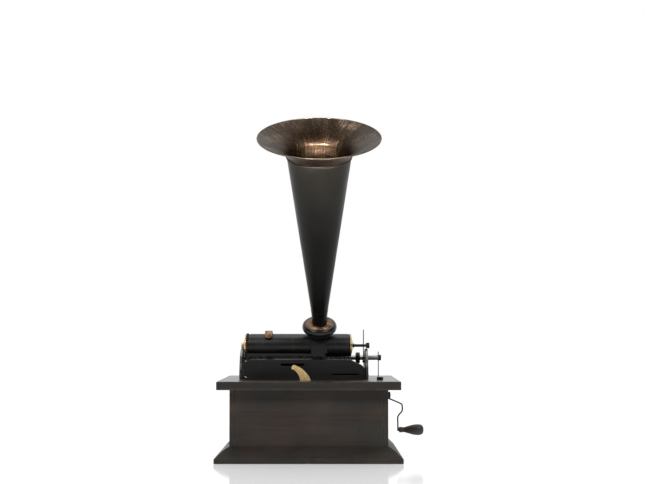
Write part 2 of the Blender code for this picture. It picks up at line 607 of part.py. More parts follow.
def make_speed_control():
    head, tip = 0.0057, 0.1128
    profile = [(0, DECK_TOP + head), (0.0049, DECK_TOP + head), (0.0056, DECK_TOP + head - 0.0007),
               (0.0056, DECK_TOP + GAP), (0.002, DECK_TOP + GAP), (0.002, tip), (0, tip)]
    turned("speed_screw", profile, "black_iron", (SPEED_X, SPEED_Y, 0), Z_AXIS, 20)
    front = [(ROCKER_Y, ROCKER_Z - 0.003), (ROCKER_Y, ROCKER_Z + 0.004), (SPEED_Y + 0.003, tip - GAP),
             (SPEED_Y - 0.003, tip - GAP), (SPEED_Y - 0.003, tip - 0.005)]
    rocker = plate("speed_rocker", front, 0.004, "steel", (0.1235, 0, 0))
    shaft = rod("rocker_shaft", 0.0025, MOTOR_RIGHT_X - 0.001, 0.125, None, (0, ROCKER_Y, ROCKER_Z), steps=16)
    shoe = GOVERNOR_Z - 0.012 - 0.0012
    rear = [(ROCKER_Y, ROCKER_Z + 0.003), (ROCKER_Y - 0.004, ROCKER_Z - 0.003),
            (GOVERNOR_Y - 0.003, shoe - 0.004), (GOVERNOR_Y + 0.004, shoe - 0.004),
            (GOVERNOR_Y + 0.004, shoe), (GOVERNOR_Y - 0.004, shoe)]
    combine(rocker, shaft, "UNION")
    combine(rocker, plate("rocker_tail", rear, 0.005, None, (0.101, 0, 0)), "UNION")


# Crank

def make_crank():
    centre = (0, CRANK_Y, CRANK_Z)
    outside = CASE_WIDTH / 2
    profile = [(0.009, outside + GAP + 0.0018), (0.009, outside + GAP), (0.006, outside + GAP),
               (0.006, outside - BOARD), (LARGE_ARBOR + RUNNING, outside - BOARD),
               (LARGE_ARBOR + RUNNING, outside + GAP + 0.0018)]
    turned("crank_bush", profile, "brass", centre, ring=True)
    shaft = rod("crank_shaft", LARGE_ARBOR, 0.062, 0.1480, "steel", centre)
    pinion = gear("winding_pinion", CRANK_TEETH, winding_pinion_phase(), WINDING_X, CRANK_Y, CRANK_Z,
                  0.005, None)
    combine(shaft, pinion, "UNION")
    route = [(0.1455, 0.0058), (0.1480, 0.0068), (0.1660, 0.0140), (0.1692, 0.0165), (ARM_BULGE_X, 0.0200),
             (ARM_BULGE_X, 0.0265), (0.1690, 0.0295), (0.1635, 0.0360), (ARM_CLEAR_X, 0.0395),
             (ARM_CLEAR_X + 0.0003, CRANK_REACH)]
    curve = bpy.data.curves.new("crank_arm", "CURVE")
    curve.dimensions = "3D"
    curve.bevel_depth = WIRE_RADIUS
    curve.bevel_resolution = 2
    curve.use_fill_caps = True
    spline = curve.splines.new("POLY")
    spline.points.add(len(route) - 1)
    for point, (x, drop) in zip(spline.points, route):
        point.co = (x, CRANK_Y, CRANK_Z - drop, 1)
    wire = as_mesh(place("crank_arm", curve, "black_iron"))
    hub = tube("arm_hub", 0.0068, LARGE_ARBOR + GAP, 0.1425, 0.1480, None, centre)
    combine(wire, hub, "UNION")
    end_z = CRANK_Z - CRANK_REACH
    pin = rod("grip_pin", 0.0018, ARM_CLEAR_X - 0.0004, 0.1920, None, (0, CRANK_Y, end_z), steps=16)
    combine(wire, pin, "UNION")
    bore, start = 0.0018 + RUNNING, 0.1638
    swell = [(0.0034, 1.0), (0.0072, 0.97), (0.0094, 0.88), (GRIP_RADIUS, 0.74), (0.0090, 0.55),
             (0.0068, 0.36), (0.0052, 0.24), (0.0048, 0.17), (0.0048, 0.0)]
    outer = [(radius, start + GRIP_LENGTH * share) for radius, share in swell]
    profile = [(0, start + GRIP_LENGTH), *outer, (bore, start), (bore, 0.1930), (0, 0.1930)]
    turned("crank_grip", profile, "stained_wood", (0, CRANK_Y, end_z))


# Motor

def winding_pinion_phase():
    return meshing_phase(WINDING_TEETH, pi / 2, CRANK_TEETH, pi / 2)


def make_motor_frame():
    outline = [(MOTOR_FRONT, MOTOR_FOOT), (MOTOR_FRONT, MOTOR_TOP), (MOTOR_BACK, MOTOR_TOP),
               (MOTOR_BACK, MOTOR_FOOT)]
    bearings = [((BARREL_Y, BARREL_Z), LARGE_ARBOR), ((SECOND_Y, SECOND_Z), SMALL_ARBOR),
                ((PULLEY_Y, PULLEY_Z), SMALL_ARBOR), ((GOVERNOR_Y, GOVERNOR_Z), SMALL_ARBOR)]
    holes = [circle(centre, radius + RUNNING) for centre, radius in bearings]
    left = plate("motor_plate_left", outline, MOTOR_SHEET, "steel", (MOTOR_LEFT_X, 0, 0), holes=holes)
    extra = [circle((CRANK_Y, CRANK_Z), LARGE_ARBOR + RUNNING),
             circle((ROCKER_Y, ROCKER_Z), SMALL_ARBOR + RUNNING)]
    plate("motor_plate_right", outline, MOTOR_SHEET, "steel", (MOTOR_RIGHT_X, 0, 0), holes=holes + extra)
    start, end = MOTOR_LEFT_X, MOTOR_RIGHT_X - MOTOR_SHEET / 2 - GAP
    inset = 0.007
    for number, (y, z) in enumerate(((MOTOR_FRONT + inset, MOTOR_FOOT + inset),
                                     (MOTOR_FRONT + inset, MOTOR_TOP - inset),
                                     (MOTOR_BACK - inset, MOTOR_FOOT + inset),
                                     (MOTOR_BACK - inset, MOTOR_TOP - inset)), 1):
        combine(left, rod(f"motor_pillar_{number}", 0.0035, start, end, None, (0, y, z), steps=16), "UNION")


def spiral(turns, start, end, steps):
    """Points of an evenly opening spiral."""
    points = []
    for step in range(steps + 1):
        angle = 2 * pi * turns * step / steps
        radius = start + (end - start) * step / steps
        points.append((radius * cos(angle), radius * sin(angle)))
    return points


def make_spring_motor():
    centre = (0, BARREL_Y, BARREL_Z)
    left, right = MOTOR_LEFT_X - 0.003, MOTOR_RIGHT_X + 0.003
    rod("barrel_arbor", LARGE_ARBOR, left, right, "steel", centre)
    fixed, free = LARGE_ARBOR + GAP, LARGE_ARBOR + RUNNING
    wheel = gear("winding_wheel", WINDING_TEETH, pi / 2, WINDING_X, BARREL_Y, BARREL_Z, 0.003, "brass")
    ratchet = []
    for tooth in range(RATCHET_TEETH):
        angle = pi + 2 * pi * tooth / RATCHET_TEETH
        for reach in (RATCHET_RADIUS - RATCHET_STEP, RATCHET_RADIUS):
            ratchet.append((reach * cos(angle), reach * sin(angle)))
    boss = plate("ratchet_boss", ratchet, 0.007, None, (RATCHET_X - 0.002, BARREL_Y, BARREL_Z))
    combine(wheel, boss, "UNION")
    combine(wheel, rod("winding_bore", fixed, WINDING_X - BOARD, RATCHET_X + BOARD, None, centre))
    outer, inner = BARREL_RADIUS, BARREL_RADIUS - BARREL_WALL
    floor = BARREL_LEFT + BARREL_WALL
    profile = [(0, floor), (inner, floor), (inner, BARREL_RIGHT), (outer, BARREL_RIGHT), (outer, BARREL_LEFT),
               (0, BARREL_LEFT)]
    barrel = turned("spring_barrel", profile, "brass", centre, steps=24)
    great = gear("great_wheel", GREAT_TEETH, SECOND_ANGLE, GREAT_X, BARREL_Y, BARREL_Z, GREAT_WIDTH, None)
    combine(barrel, great, "UNION")
    combine(barrel, rod("barrel_bore", free, GREAT_X - BOARD, floor + BOARD, None, centre))
    tube("barrel_cover", inner - GAP, free, BARREL_RIGHT - 0.0015, BARREL_RIGHT, "brass", centre, steps=24)
    turns, steps, strip = 4, 48, 0.0009
    path = spiral(turns, 0.0060, inner - 0.0015, steps)
    wound = [(y * (1 + strip / hypot(y, z)), z * (1 + strip / hypot(y, z))) for y, z in path]
    spring_left, spring_right = BARREL_LEFT + BARREL_WALL + 0.001, BARREL_RIGHT - 0.003
    middle = ((spring_left + spring_right) / 2, BARREL_Y, BARREL_Z)
    plate("mainspring", [*path, *reversed(wound)], spring_right - spring_left, "steel", middle)


def make_click():
    """Pawl of the ratchet on the winding wheel's boss, riding on the tips of its teeth."""
    pivot = (BARREL_Y - 0.026, BARREL_Z - 0.006)
    tip = BARREL_Y - RATCHET_RADIUS - GAP
    face = BARREL_Z + GAP
    outline = [*arc(pivot, 0.0035, 100, 330, 8), (tip - 0.0021, face), (tip, face),
               (tip - 0.0004, face + 0.0015), (tip - 0.0013, face + 0.0031)]
    click = plate("click", outline, 0.003, "steel", (RATCHET_X, 0, 0))
    pin = rod("click_pin", 0.0015, RATCHET_X - 0.001, MOTOR_RIGHT_X - MOTOR_SHEET / 2 - GAP, None,
              (0, *pivot), steps=12)
    combine(click, pin, "UNION")


def make_train():
    left, right = MOTOR_LEFT_X - 0.002, MOTOR_RIGHT_X + 0.002
    second_phase = meshing_phase(GREAT_TEETH, SECOND_ANGLE, SECOND_PINION_TEETH, SECOND_ANGLE)
    pinion_width, wheel_width = 0.005, 0.003
    arbor = rod("second_arbor", SMALL_ARBOR, left, right, "steel", (0, SECOND_Y, SECOND_Z))
    leaves = gear("second_pinion", SECOND_PINION_TEETH, second_phase, GREAT_X, SECOND_Y, SECOND_Z,
                  pinion_width, None)
    combine(arbor, leaves, "UNION")
    pulley_direction = atan2(PULLEY_Z - SECOND_Z, PULLEY_Y - SECOND_Y)
    wheel = gear("second_wheel", SECOND_TEETH, pulley_direction, SECOND_WHEEL_X, SECOND_Y, SECOND_Z,
                 wheel_width, None)
    combine(arbor, wheel, "UNION")
    third_phase = meshing_phase(SECOND_TEETH, pulley_direction, THIRD_PINION_TEETH, pulley_direction)
    arbor = rod("pulley_arbor", SMALL_ARBOR, 0.007, 0.0955, "steel", (0, PULLEY_Y, PULLEY_Z))
    leaves = gear("third_pinion", THIRD_PINION_TEETH, third_phase, SECOND_WHEEL_X, PULLEY_Y, PULLEY_Z,
                  pinion_width, None)
    combine(arbor, leaves, "UNION")
    combine(arbor, rod("brake_drum", 0.008, 0.008, 0.014, None, (0, PULLEY_Y, PULLEY_Z)), "UNION")
    combine(arbor, pulley("motor_pulley", SMALL_ARBOR - GAP, None, PULLEY_Y, PULLEY_Z), "UNION")
    governor_phase = meshing_phase(SECOND_TEETH, pulley_direction, THIRD_PINION_TEETH, GOVERNOR_ANGLE)
    centre = (0, GOVERNOR_Y, GOVERNOR_Z)
    shaft = rod("governor_shaft", SMALL_ARBOR, left, 0.103, "steel", centre)
    leaves = gear("governor_pinion", THIRD_PINION_TEETH, governor_phase, SECOND_WHEEL_X, GOVERNOR_Y,
                  GOVERNOR_Z, pinion_width, None)
    combine(shaft, leaves, "UNION")
    combine(shaft, rod("governor_disc", 0.012, 0.0985, 0.1005, None, centre), "UNION")
    hub = tube("governor_weights", 0.0050, SMALL_ARBOR + GAP, 0.034, 0.048, "brass", centre)
    for number in range(3):
        angle = 2 * pi * number / 3
        spot = (0.041, GOVERNOR_Y + 0.0075 * cos(angle), GOVERNOR_Z + 0.0075 * sin(angle))
        weight = turned(f"governor_ball_{number + 1}", arc((0, 0), 0.0042, 90, -90, 4), None, spot, steps=10)
        combine(hub, weight, "UNION")


clear_scene()
PARTS = new_collection("wind_up_phonograph")
CUTTERS = new_collection("phonograph_cutters")
make_plinth()
make_case()
make_deck()
make_housing()
make_end_plates()
make_guide_bar()
make_back_rod()
make_mandrel()
make_feed()
make_carriage()
make_reproducer()
make_horn()
make_catch()
make_gate()
make_start_lever()
make_speed_control()
make_crank()
make_motor_frame()
make_spring_motor()
make_click()
make_train()
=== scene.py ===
"""The looks of a wind-up cylinder phonograph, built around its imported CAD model. Metres throughout."""

import json
import math

import bmesh
import bpy
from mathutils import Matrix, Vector

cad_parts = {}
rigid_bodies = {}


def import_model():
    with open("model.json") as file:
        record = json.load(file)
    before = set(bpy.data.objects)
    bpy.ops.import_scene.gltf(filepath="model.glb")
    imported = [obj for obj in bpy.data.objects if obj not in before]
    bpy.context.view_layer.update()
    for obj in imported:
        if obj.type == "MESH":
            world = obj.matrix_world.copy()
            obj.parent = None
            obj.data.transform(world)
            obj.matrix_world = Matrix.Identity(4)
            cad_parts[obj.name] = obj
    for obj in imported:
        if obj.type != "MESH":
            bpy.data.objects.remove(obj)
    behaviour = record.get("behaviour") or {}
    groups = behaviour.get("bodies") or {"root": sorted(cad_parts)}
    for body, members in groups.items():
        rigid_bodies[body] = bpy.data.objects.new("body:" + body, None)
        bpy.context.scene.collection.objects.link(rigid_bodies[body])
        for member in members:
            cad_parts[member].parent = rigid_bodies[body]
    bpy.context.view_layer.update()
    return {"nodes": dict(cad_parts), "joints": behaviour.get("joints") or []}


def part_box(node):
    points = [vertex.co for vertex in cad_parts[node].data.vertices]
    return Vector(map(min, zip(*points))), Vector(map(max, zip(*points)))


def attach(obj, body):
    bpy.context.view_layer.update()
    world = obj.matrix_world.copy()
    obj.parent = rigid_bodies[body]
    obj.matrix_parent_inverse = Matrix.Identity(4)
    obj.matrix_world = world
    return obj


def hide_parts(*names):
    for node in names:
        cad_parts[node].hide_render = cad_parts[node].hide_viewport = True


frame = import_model()

X_AXIS = Vector((1, 0, 0))
Y_AXIS = Vector((0, 1, 0))
Z_AXIS = Vector((0, 0, 1))


# ---------------------------------------------------------------- camera, floor and lights

def aim(item, target):
    """Turns a camera or a light so that it looks at a point."""
    item.rotation_euler = (Vector(target) - item.location).to_track_quat("-Z", "Y").to_euler()


def make_camera():
    camera = bpy.data.objects.new("camera", bpy.data.cameras.new("camera"))
    camera.data.lens = 52.15
    camera.data.sensor_width = 36
    camera.data.shift_y = 0.08
    camera.location = (0.0237, -1.7205, 0.2278)
    camera.rotation_euler = (math.radians(90 + 2.26), 0, 0)
    bpy.context.scene.collection.objects.link(camera)
    bpy.context.scene.camera = camera


def make_softbox(name, location, size, power, target, colour=(1, 1, 1), spread=180):
    light = bpy.data.objects.new(name, bpy.data.lights.new(name, "AREA"))
    light.data.shape = "RECTANGLE"
    light.data.size, light.data.size_y = size
    light.data.energy = power
    light.data.color = colour
    light.data.spread = math.radians(spread)
    light.location = location
    bpy.context.scene.collection.objects.link(light)
    aim(light, target)


def make_lights():
    middle = (0.0, 0.0, 0.25)
    bell = (0.018, -0.17, 0.60)
    warm = (1, 0.95, 0.88)
    make_softbox("left_softbox", (-1.1, -1.5, 1.7), (0.6, 0.6), 16, middle)
    make_softbox("right_softbox", (1.15, -1.5, 1.7), (0.6, 0.6), 14, middle)
    make_softbox("top_softbox", (0.0, 0.15, 1.7), (1.4, 1.0), 7, middle)
    make_softbox("left_bell_light", (-0.50, -1.75, 0.25), (0.12, 0.25), 0.85, bell, warm, spread=9)
    make_softbox("right_bell_light", (0.54, -1.75, 0.25), (0.12, 0.25), 0.85, bell, warm, spread=9)


def make_surroundings():
    """White for the camera; for the object's own light, bright behind it and dim in front."""
    world = bpy.data.worlds.new("studio")
    world.use_nodes = True
    nodes, links = world.node_tree.nodes, world.node_tree.links
    direction = nodes.new("ShaderNodeSeparateXYZ")
    links.new(nodes.new("ShaderNodeTexCoord").outputs["Generated"], direction.inputs["Vector"])
    backdrop = nodes.new("ShaderNodeMapRange")
    backdrop.interpolation_type = "SMOOTHSTEP"
    backdrop.inputs["From Min"].default_value = -0.15
    backdrop.inputs["From Max"].default_value = 0.75
    backdrop.inputs["To Min"].default_value = 0.05
    backdrop.inputs["To Max"].default_value = 0.95
    links.new(direction.outputs["Y"], backdrop.inputs["Value"])
    paths = nodes.new("ShaderNodeLightPath")
    strength = nodes.new("ShaderNodeMapRange")
    strength.inputs["To Max"].default_value = 1.0
    links.new(backdrop.outputs["Result"], strength.inputs["To Min"])
    links.new(paths.outputs["Is Camera Ray"], strength.inputs["Value"])
    links.new(strength.outputs["Result"], nodes["Background"].inputs["Strength"])
    nodes["Background"].inputs["Color"].default_value = (1, 1, 1, 1)
    bpy.context.scene.world = world
    bpy.context.scene.view_settings.view_transform = "Standard"


def make_floor():
    reach, height = 6.0, -0.0004
    mesh = bpy.data.meshes.new("floor")
    corners = ((-reach, -reach), (reach, -reach), (reach, reach), (-reach, reach))
    mesh.from_pydata([(x, y, height) for x, y in corners], [], [(0, 1, 2, 3)])
    floor = bpy.data.objects.new("floor", mesh)
    bpy.context.scene.collection.objects.link(floor)
    paint = bpy.data.materials.new("floor_paint")
    paint.use_nodes = True
    shader = paint.node_tree.nodes["Principled BSDF"]
    shader.inputs["Base Color"].default_value = (0.80, 0.80, 0.80, 1)
    shader.inputs["Roughness"].default_value = 0.12
    shader.inputs["Emission Color"].default_value = (1, 1, 1, 1)
    shader.inputs["Emission Strength"].default_value = 0.34
    mesh.materials.append(paint)


make_camera()
make_surroundings()
make_lights()
make_floor()


# ---------------------------------------------------------------- materials

class Recipe:
    """A procedural material while it is being put together."""

    def __init__(self, name, metallic=0.0, roughness=0.5, coat=0.0):
        self.material = bpy.data.materials.new(name)
        self.material.use_nodes = True
        self.tree = self.material.node_tree
        self.shader = self.tree.nodes["Principled BSDF"]
        self.shader.inputs["Metallic"].default_value = metallic
        self.shader.inputs["Roughness"].default_value = roughness
        self.shader.inputs["Coat Weight"].default_value = coat
        self.shader.inputs["Coat Roughness"].default_value = 0.3
        self.place = self.tree.nodes.new("ShaderNodeTexCoord").outputs["Object"]

    def add(self, kind, inputs=(), **settings):
        """Adds a node; an input is either another node's output or a constant."""
        node = self.tree.nodes.new(kind)
        for key, value in settings.items():
            setattr(node, key, value)
        for key, value in dict(inputs).items():
            if isinstance(value, bpy.types.NodeSocket):
                self.tree.links.new(value, node.inputs[key])
            else:
                node.inputs[key].default_value = value
        return node

    def stretched(self, scale, place=None, turn=(0, 0, 0)):
        inputs = {"Vector": place or self.place, "Scale": scale, "Rotation": turn}
        return self.add("ShaderNodeMapping", inputs).outputs["Vector"]

    def noise(self, scale, place=None, detail=4.0, roughness=0.55, distortion=0.0):
        inputs = {
            "Vector": place or self.place,
            "Scale": scale,
            "Detail": detail,
            "Roughness": roughness,
            "Distortion": distortion,
        }
        return self.add("ShaderNodeTexNoise", inputs).outputs["Fac"]

    def spots(self, scale, place=None):
        inputs = {"Vector": place or self.place, "Scale": scale}
        return self.add("ShaderNodeTexVoronoi", inputs).outputs["Distance"]

    def spread(self, value, low, high, to_low=0.0, to_high=1.0):
        """Stretches a narrow band of values over a wider one."""
        inputs = {"Value": value, "From Min": low, "From Max": high, "To Min": to_low, "To Max": to_high}
        return self.add("ShaderNodeMapRange", inputs).outputs["Result"]

    def maths(self, operation, first, second=0.0):
        node = self.add("ShaderNodeMath", {0: first, 1: second}, operation=operation)
        return node.outputs["Value"]

    def ramp(self, value, *stops):
        """Colours by value: each stop is a position and a colour."""
        node = self.add("ShaderNodeValToRGB", {"Fac": value})
        while len(node.color_ramp.elements) < len(stops):
            node.color_ramp.elements.new(0.5)
        for element, (position, colour) in zip(node.color_ramp.elements, stops):
            element.position = position
            element.color = (*colour, 1)
        return node.outputs["Color"]

    def layer(self, amount, below, above, kind="MIX"):
        """One colour over another, by an amount."""
        node = self.add("ShaderNodeMix", data_type="RGBA", blend_type=kind, clamp_factor=True)
        sockets = [socket for socket in node.inputs if socket.enabled]
        for socket, value in zip(sockets, (amount, below, above)):
            if isinstance(value, bpy.types.NodeSocket):
                self.tree.links.new(value, socket)
            else:
                socket.default_value = value if isinstance(value, float) else (*value, 1)
        return next(socket for socket in node.outputs if socket.enabled)

    def edge_band(self, reach, patchiness=60.0, sharpness=0.14):
        """0 on the flat and up to 1 along convex and concave edges, broken up by noise."""
        soft = self.add("ShaderNodeBevel", {"Radius": reach}, samples=4).outputs["Normal"]
        plain = self.add("ShaderNodeNewGeometry").outputs["True Normal"]
        likeness = self.add("ShaderNodeVectorMath", {0: soft, 1: plain}, operation="DOT_PRODUCT")
        edge = self.maths("SUBTRACT", 1.0, likeness.outputs["Value"])
        patches = self.spread(self.noise(patchiness, detail=6.0), 0.38, 0.62)
        return self.maths("MULTIPLY", self.spread(edge, 0.01, sharpness), patches)

    def relief(self, height, depth, strength=1.0, above=None):
        inputs = {"Height": height, "Distance": depth, "Strength": strength}
        if above is not None:
            inputs["Normal"] = above
        return self.add("ShaderNodeBump", inputs).outputs["Normal"]

    def finish(self, colour, normal=None, roughness=None):
        for socket, value in (("Base Color", colour), ("Normal", normal), ("Roughness", roughness)):
            if value is not None:
                self.tree.links.new(value, self.shader.inputs[socket])
        return self.material


def stained_wood(name, grain, lightness=1.0, coat=0.06, specular=0.25):
    """Near-black brown stain; grain is the direction that the boards run."""
    recipe = Recipe(name, roughness=0.5, coat=coat)
    recipe.shader.inputs["Specular IOR Level"].default_value = specular
    fine = Vector((260, 260, 260))
    coarse = Vector((46, 46, 46))
    for axis in range(3):
        if grain[axis]:
            fine[axis], coarse[axis] = 7, 3
    pores = recipe.noise(1.0, recipe.stretched(fine), detail=6.0, roughness=0.7)
    rings = recipe.noise(1.0, recipe.stretched(coarse), detail=5.0, distortion=0.8)
    clouds = recipe.noise(11.0, detail=3.0, distortion=0.6)
    tints = recipe.noise(6.5, recipe.stretched((1, 1, 1.4), turn=(0.4, 0.2, 0.9)), detail=2.0)
    stain = recipe.ramp(
        clouds,
        (0.30, Vector((0.0105, 0.0092, 0.0085)) * lightness),
        (0.50, Vector((0.0180, 0.0155, 0.0138)) * lightness),
        (0.72, Vector((0.0300, 0.0250, 0.0210)) * lightness),
    )
    tint = recipe.ramp(
        tints,
        (0.34, Vector((0.026, 0.026, 0.014)) * lightness),
        (0.50, Vector((0.019, 0.018, 0.016)) * lightness),
        (0.66, Vector((0.038, 0.025, 0.019)) * lightness),
    )
    colour = recipe.layer(0.55, stain, tint)
    colour = recipe.layer(recipe.spread(rings, 0.46, 0.70, 0.0, 0.7), colour, (0.044, 0.029, 0.019))
    colour = recipe.layer(recipe.spread(pores, 0.56, 0.74, 0.0, 0.8), colour, (0.005, 0.0045, 0.004))
    # Lighter brown along the board edges: partly rubbed wear, partly a painted highlight on the bevels.
    edge_mask = recipe.edge_band(0.0045)
    colour = recipe.layer(recipe.maths("MULTIPLY", edge_mask, 0.8), colour, (0.105, 0.076, 0.056))
    normal = recipe.relief(pores, 0.00035, 0.55)
    normal = recipe.relief(rings, 0.0004, 0.35, normal)
    roughness = recipe.spread(clouds, 0.3, 0.7, 0.36, 0.58)
    return recipe.finish(colour, normal, roughness)


def plain_wood():
    recipe = Recipe("plain_pine", roughness=0.7)
    grain = recipe.noise(1.0, recipe.stretched((4, 90, 90)), detail=6.0, distortion=1.2)
    colour = recipe.ramp(
        grain, (0.32, (0.42, 0.27, 0.13)), (0.52, (0.34, 0.20, 0.09)), (0.64, (0.20, 0.11, 0.05))
    )
    return recipe.finish(colour, recipe.relief(grain, 0.0004, 0.5))


def black_iron(name, colour, worn, roughness=0.42, texture=1.0, specular=0.5):
    """Enamel on a casting: slight orange peel, dust in the hollows, rubbed edges."""
    recipe = Recipe(name, roughness=roughness, coat=0.2 * specular)
    recipe.shader.inputs["Specular IOR Level"].default_value = specular
    peel = recipe.noise(420.0, detail=3.0)
    sand = recipe.noise(1500.0, detail=2.0)
    clouds = recipe.noise(16.0, detail=4.0, distortion=0.4)
    paint = recipe.ramp(
        clouds,
        (0.32, Vector(colour) * 0.75),
        (0.55, colour),
        (0.75, Vector(colour) * 1.7),
    )
    scuffs = recipe.noise(1.0, recipe.stretched((30, 260, 300)), detail=6.0, roughness=0.7)
    paint = recipe.layer(recipe.spread(scuffs, 0.60, 0.80, 0.0, 0.35), paint, worn)
    edge_mask = recipe.edge_band(0.0011, 90.0)
    paint = recipe.layer(recipe.maths("MULTIPLY", edge_mask, 0.8), paint, worn)
    normal = recipe.relief(peel, 0.00018, 0.45 * texture)
    normal = recipe.relief(sand, 0.00006, 0.5 * texture, normal)
    return recipe.finish(paint, normal, recipe.spread(clouds, 0.3, 0.7, roughness - 0.07, roughness + 0.12))


def polar(recipe, centre, axis):
    """A point's place from a centre, as two values across an axis and one along it."""
    side = axis.orthogonal().normalized()
    other = axis.cross(side)
    offset = recipe.add("ShaderNodeVectorMath", {0: recipe.place, 1: centre}, operation="SUBTRACT")
    parts = []
    for direction in (side, other, axis):
        inputs = {0: offset.outputs["Vector"], 1: direction}
        parts.append(recipe.add("ShaderNodeVectorMath", inputs, operation="DOT_PRODUCT").outputs["Value"])
    return parts


def streaked_metal(name, centre, axis, stops, metallic=1.0, roughness=(0.3, 0.5), lines=60.0):
    """Metal brushed along an axis: streaks that follow the surface away from the middle."""
    recipe = Recipe(name, metallic=metallic)
    side, other, along = polar(recipe, centre, axis)
    reach = recipe.maths("SQRT", recipe.maths("ADD", recipe.maths("POWER", side, 2.0),
                                              recipe.maths("POWER", other, 2.0)))
    inputs = {
        "X": recipe.maths("MULTIPLY", recipe.maths("DIVIDE", side, reach), lines),
        "Y": recipe.maths("MULTIPLY", recipe.maths("DIVIDE", other, reach), lines),
        "Z": recipe.maths("MULTIPLY", along, 26.0),
    }
    fan = recipe.add("ShaderNodeCombineXYZ", inputs).outputs["Vector"]
    streaks = recipe.noise(1.0, fan, detail=6.0, roughness=0.72)
    patina = recipe.noise(24.0, detail=5.0, distortion=0.8)
    speckle = recipe.noise(330.0, detail=3.0)
    mixed = recipe.maths("ADD", recipe.maths("MULTIPLY", streaks, 0.62),
                         recipe.maths("MULTIPLY", patina, 0.38))
    mixed = recipe.maths("ADD", mixed, recipe.spread(speckle, 0.3, 0.7, -0.06, 0.06))
    colour = recipe.ramp(mixed, *stops)
    normal = recipe.relief(streaks, 0.0004, 0.5)
    normal = recipe.relief(speckle, 0.0001, 0.4, normal)
    return recipe.finish(colour, normal, recipe.spread(mixed, 0.35, 0.65, roughness[1], roughness[0]))


def metal(name, dark, bright, roughness=0.3, scratches=(400, 400, 400), tarnish=0.5, metallic=1.0,
          patches=70.0):
    """Bare metal with fine scratches and a thin uneven tarnish."""
    recipe = Recipe(name, metallic=metallic, roughness=roughness)
    lines = recipe.noise(1.0, recipe.stretched(scratches), detail=5.0, roughness=0.7)
    clouds = recipe.noise(patches, detail=5.0, distortion=0.5)
    colour = recipe.layer(recipe.spread(clouds, 0.38, 0.66, 0.0, tarnish), bright, dark)
    colour = recipe.layer(recipe.spread(lines, 0.52, 0.75, 0.0, 0.35), colour, dark)
    edge_mask = recipe.edge_band(0.0009, 120.0)
    colour = recipe.layer(recipe.maths("MULTIPLY", edge_mask, 0.2), colour, bright)
    return recipe.finish(colour, recipe.relief(lines, 0.00008, 0.4),
                         recipe.spread(clouds, 0.3, 0.7, roughness - 0.06, roughness + 0.12))


def record_wax(groove_pitch):
    """Black moulded record: fine grooves round it, hardly visible, and a dull bloom."""
    recipe = Recipe("record_wax", roughness=0.36)
    split = recipe.add("ShaderNodeSeparateXYZ", {"Vector": recipe.place})
    turns = recipe.maths("MULTIPLY", split.outputs["X"], 2 * math.pi / groove_pitch)
    grooves = recipe.maths("SINE", turns)
    bands = recipe.noise(1.0, recipe.stretched((90, 4, 4)), detail=3.0)
    bloom = recipe.noise(19.0, detail=4.0, distortion=0.7)
    colour = recipe.ramp(
        bloom,
        (0.35, (0.0030, 0.0028, 0.0026)),
        (0.55, (0.0050, 0.0044, 0.0041)),
        (0.75, (0.018, 0.012, 0.009)),
    )
    colour = recipe.layer(recipe.spread(bands, 0.5, 0.7, 0.0, 0.5), colour, (0.025, 0.019, 0.015))
    normal = recipe.relief(grooves, 0.00002, 0.35)
    return recipe.finish(colour, normal, recipe.spread(bloom, 0.3, 0.7, 0.3, 0.46))


def belt_leather():
    recipe = Recipe("belt_leather", roughness=0.62)
    pebbles = recipe.spots(900.0)
    clouds = recipe.noise(45.0, detail=4.0)
    # Near-black colours: aged leather, darkened further as painted shade where the belt shows in the gaps
    # between parts.
    colour = recipe.ramp(clouds, (0.3, (0.014, 0.010, 0.008)), (0.7, (0.040, 0.028, 0.020)))
    return recipe.finish(colour, recipe.relief(pebbles, 0.0002, 0.6))


def mica():
    recipe = Recipe("mica", roughness=0.22)
    flakes = recipe.spots(160.0, recipe.stretched((1, 1, 1), turn=(0.5, 0.3, 0.2)))
    colour = recipe.ramp(flakes, (0.1, (0.60, 0.55, 0.44)), (0.6, (0.42, 0.37, 0.28)))
    return recipe.finish(colour, recipe.relief(flakes, 0.0001, 0.3))


# ---------------------------------------------------------------- shaping

def body_of(node):
    return frame["nodes"][node].parent.name.removeprefix("body:")


def piece(name, work, materials, body, stands_for=(), smooth=35, weighted=False):
    """Turns a bmesh into a piece that rides on a body."""
    mesh = bpy.data.meshes.new(name)
    work.to_mesh(mesh)
    work.free()
    for polygon in mesh.polygons:
        polygon.use_smooth = True
    mesh.set_sharp_from_angle(angle=math.radians(smooth))
    for material in materials:
        mesh.materials.append(material)
    item = bpy.data.objects.new(name, mesh)
    bpy.context.scene.collection.objects.link(item)
    if weighted:
        item.modifiers.new("normals", "WEIGHTED_NORMAL").keep_sharp = True
    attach(item, body)
    if stands_for:
        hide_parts(*stands_for)
    return item


def copied(node):
    """A CAD node's surface, welded and with its flat faces merged."""
    work = bmesh.new()
    work.from_mesh(frame["nodes"][node].data)
    bmesh.ops.remove_doubles(work, verts=work.verts, dist=0.00001)
    bmesh.ops.dissolve_limit(work, angle_limit=math.radians(0.8), verts=work.verts, edges=work.edges)
    return work


def soften(work, width, degrees=32, segments=2):
    edges = [edge for edge in work.edges
             if edge.is_manifold and edge.calc_face_angle(0.0) > math.radians(degrees)]
    bmesh.ops.bevel(work, geom=edges, offset=width, offset_type="OFFSET", segments=segments,
                    profile=0.5, affect="EDGES", clamp_overlap=True)


def softened(node, width, material):
    """A copy of a CAD node with rounded edges, standing for it."""
    work = copied(node)
    soften(work, width)
    return piece(f"{node}_look", work, [material], body_of(node), (node,), weighted=True)


def block(work, low, high):
    """Adds a box to a bmesh."""
    low, high = Vector(low), Vector(high)
    made = bmesh.ops.create_cube(work, size=1.0)["verts"]
    bmesh.ops.scale(work, vec=high - low, verts=made)
    bmesh.ops.translate(work, vec=(low + high) / 2, verts=made)


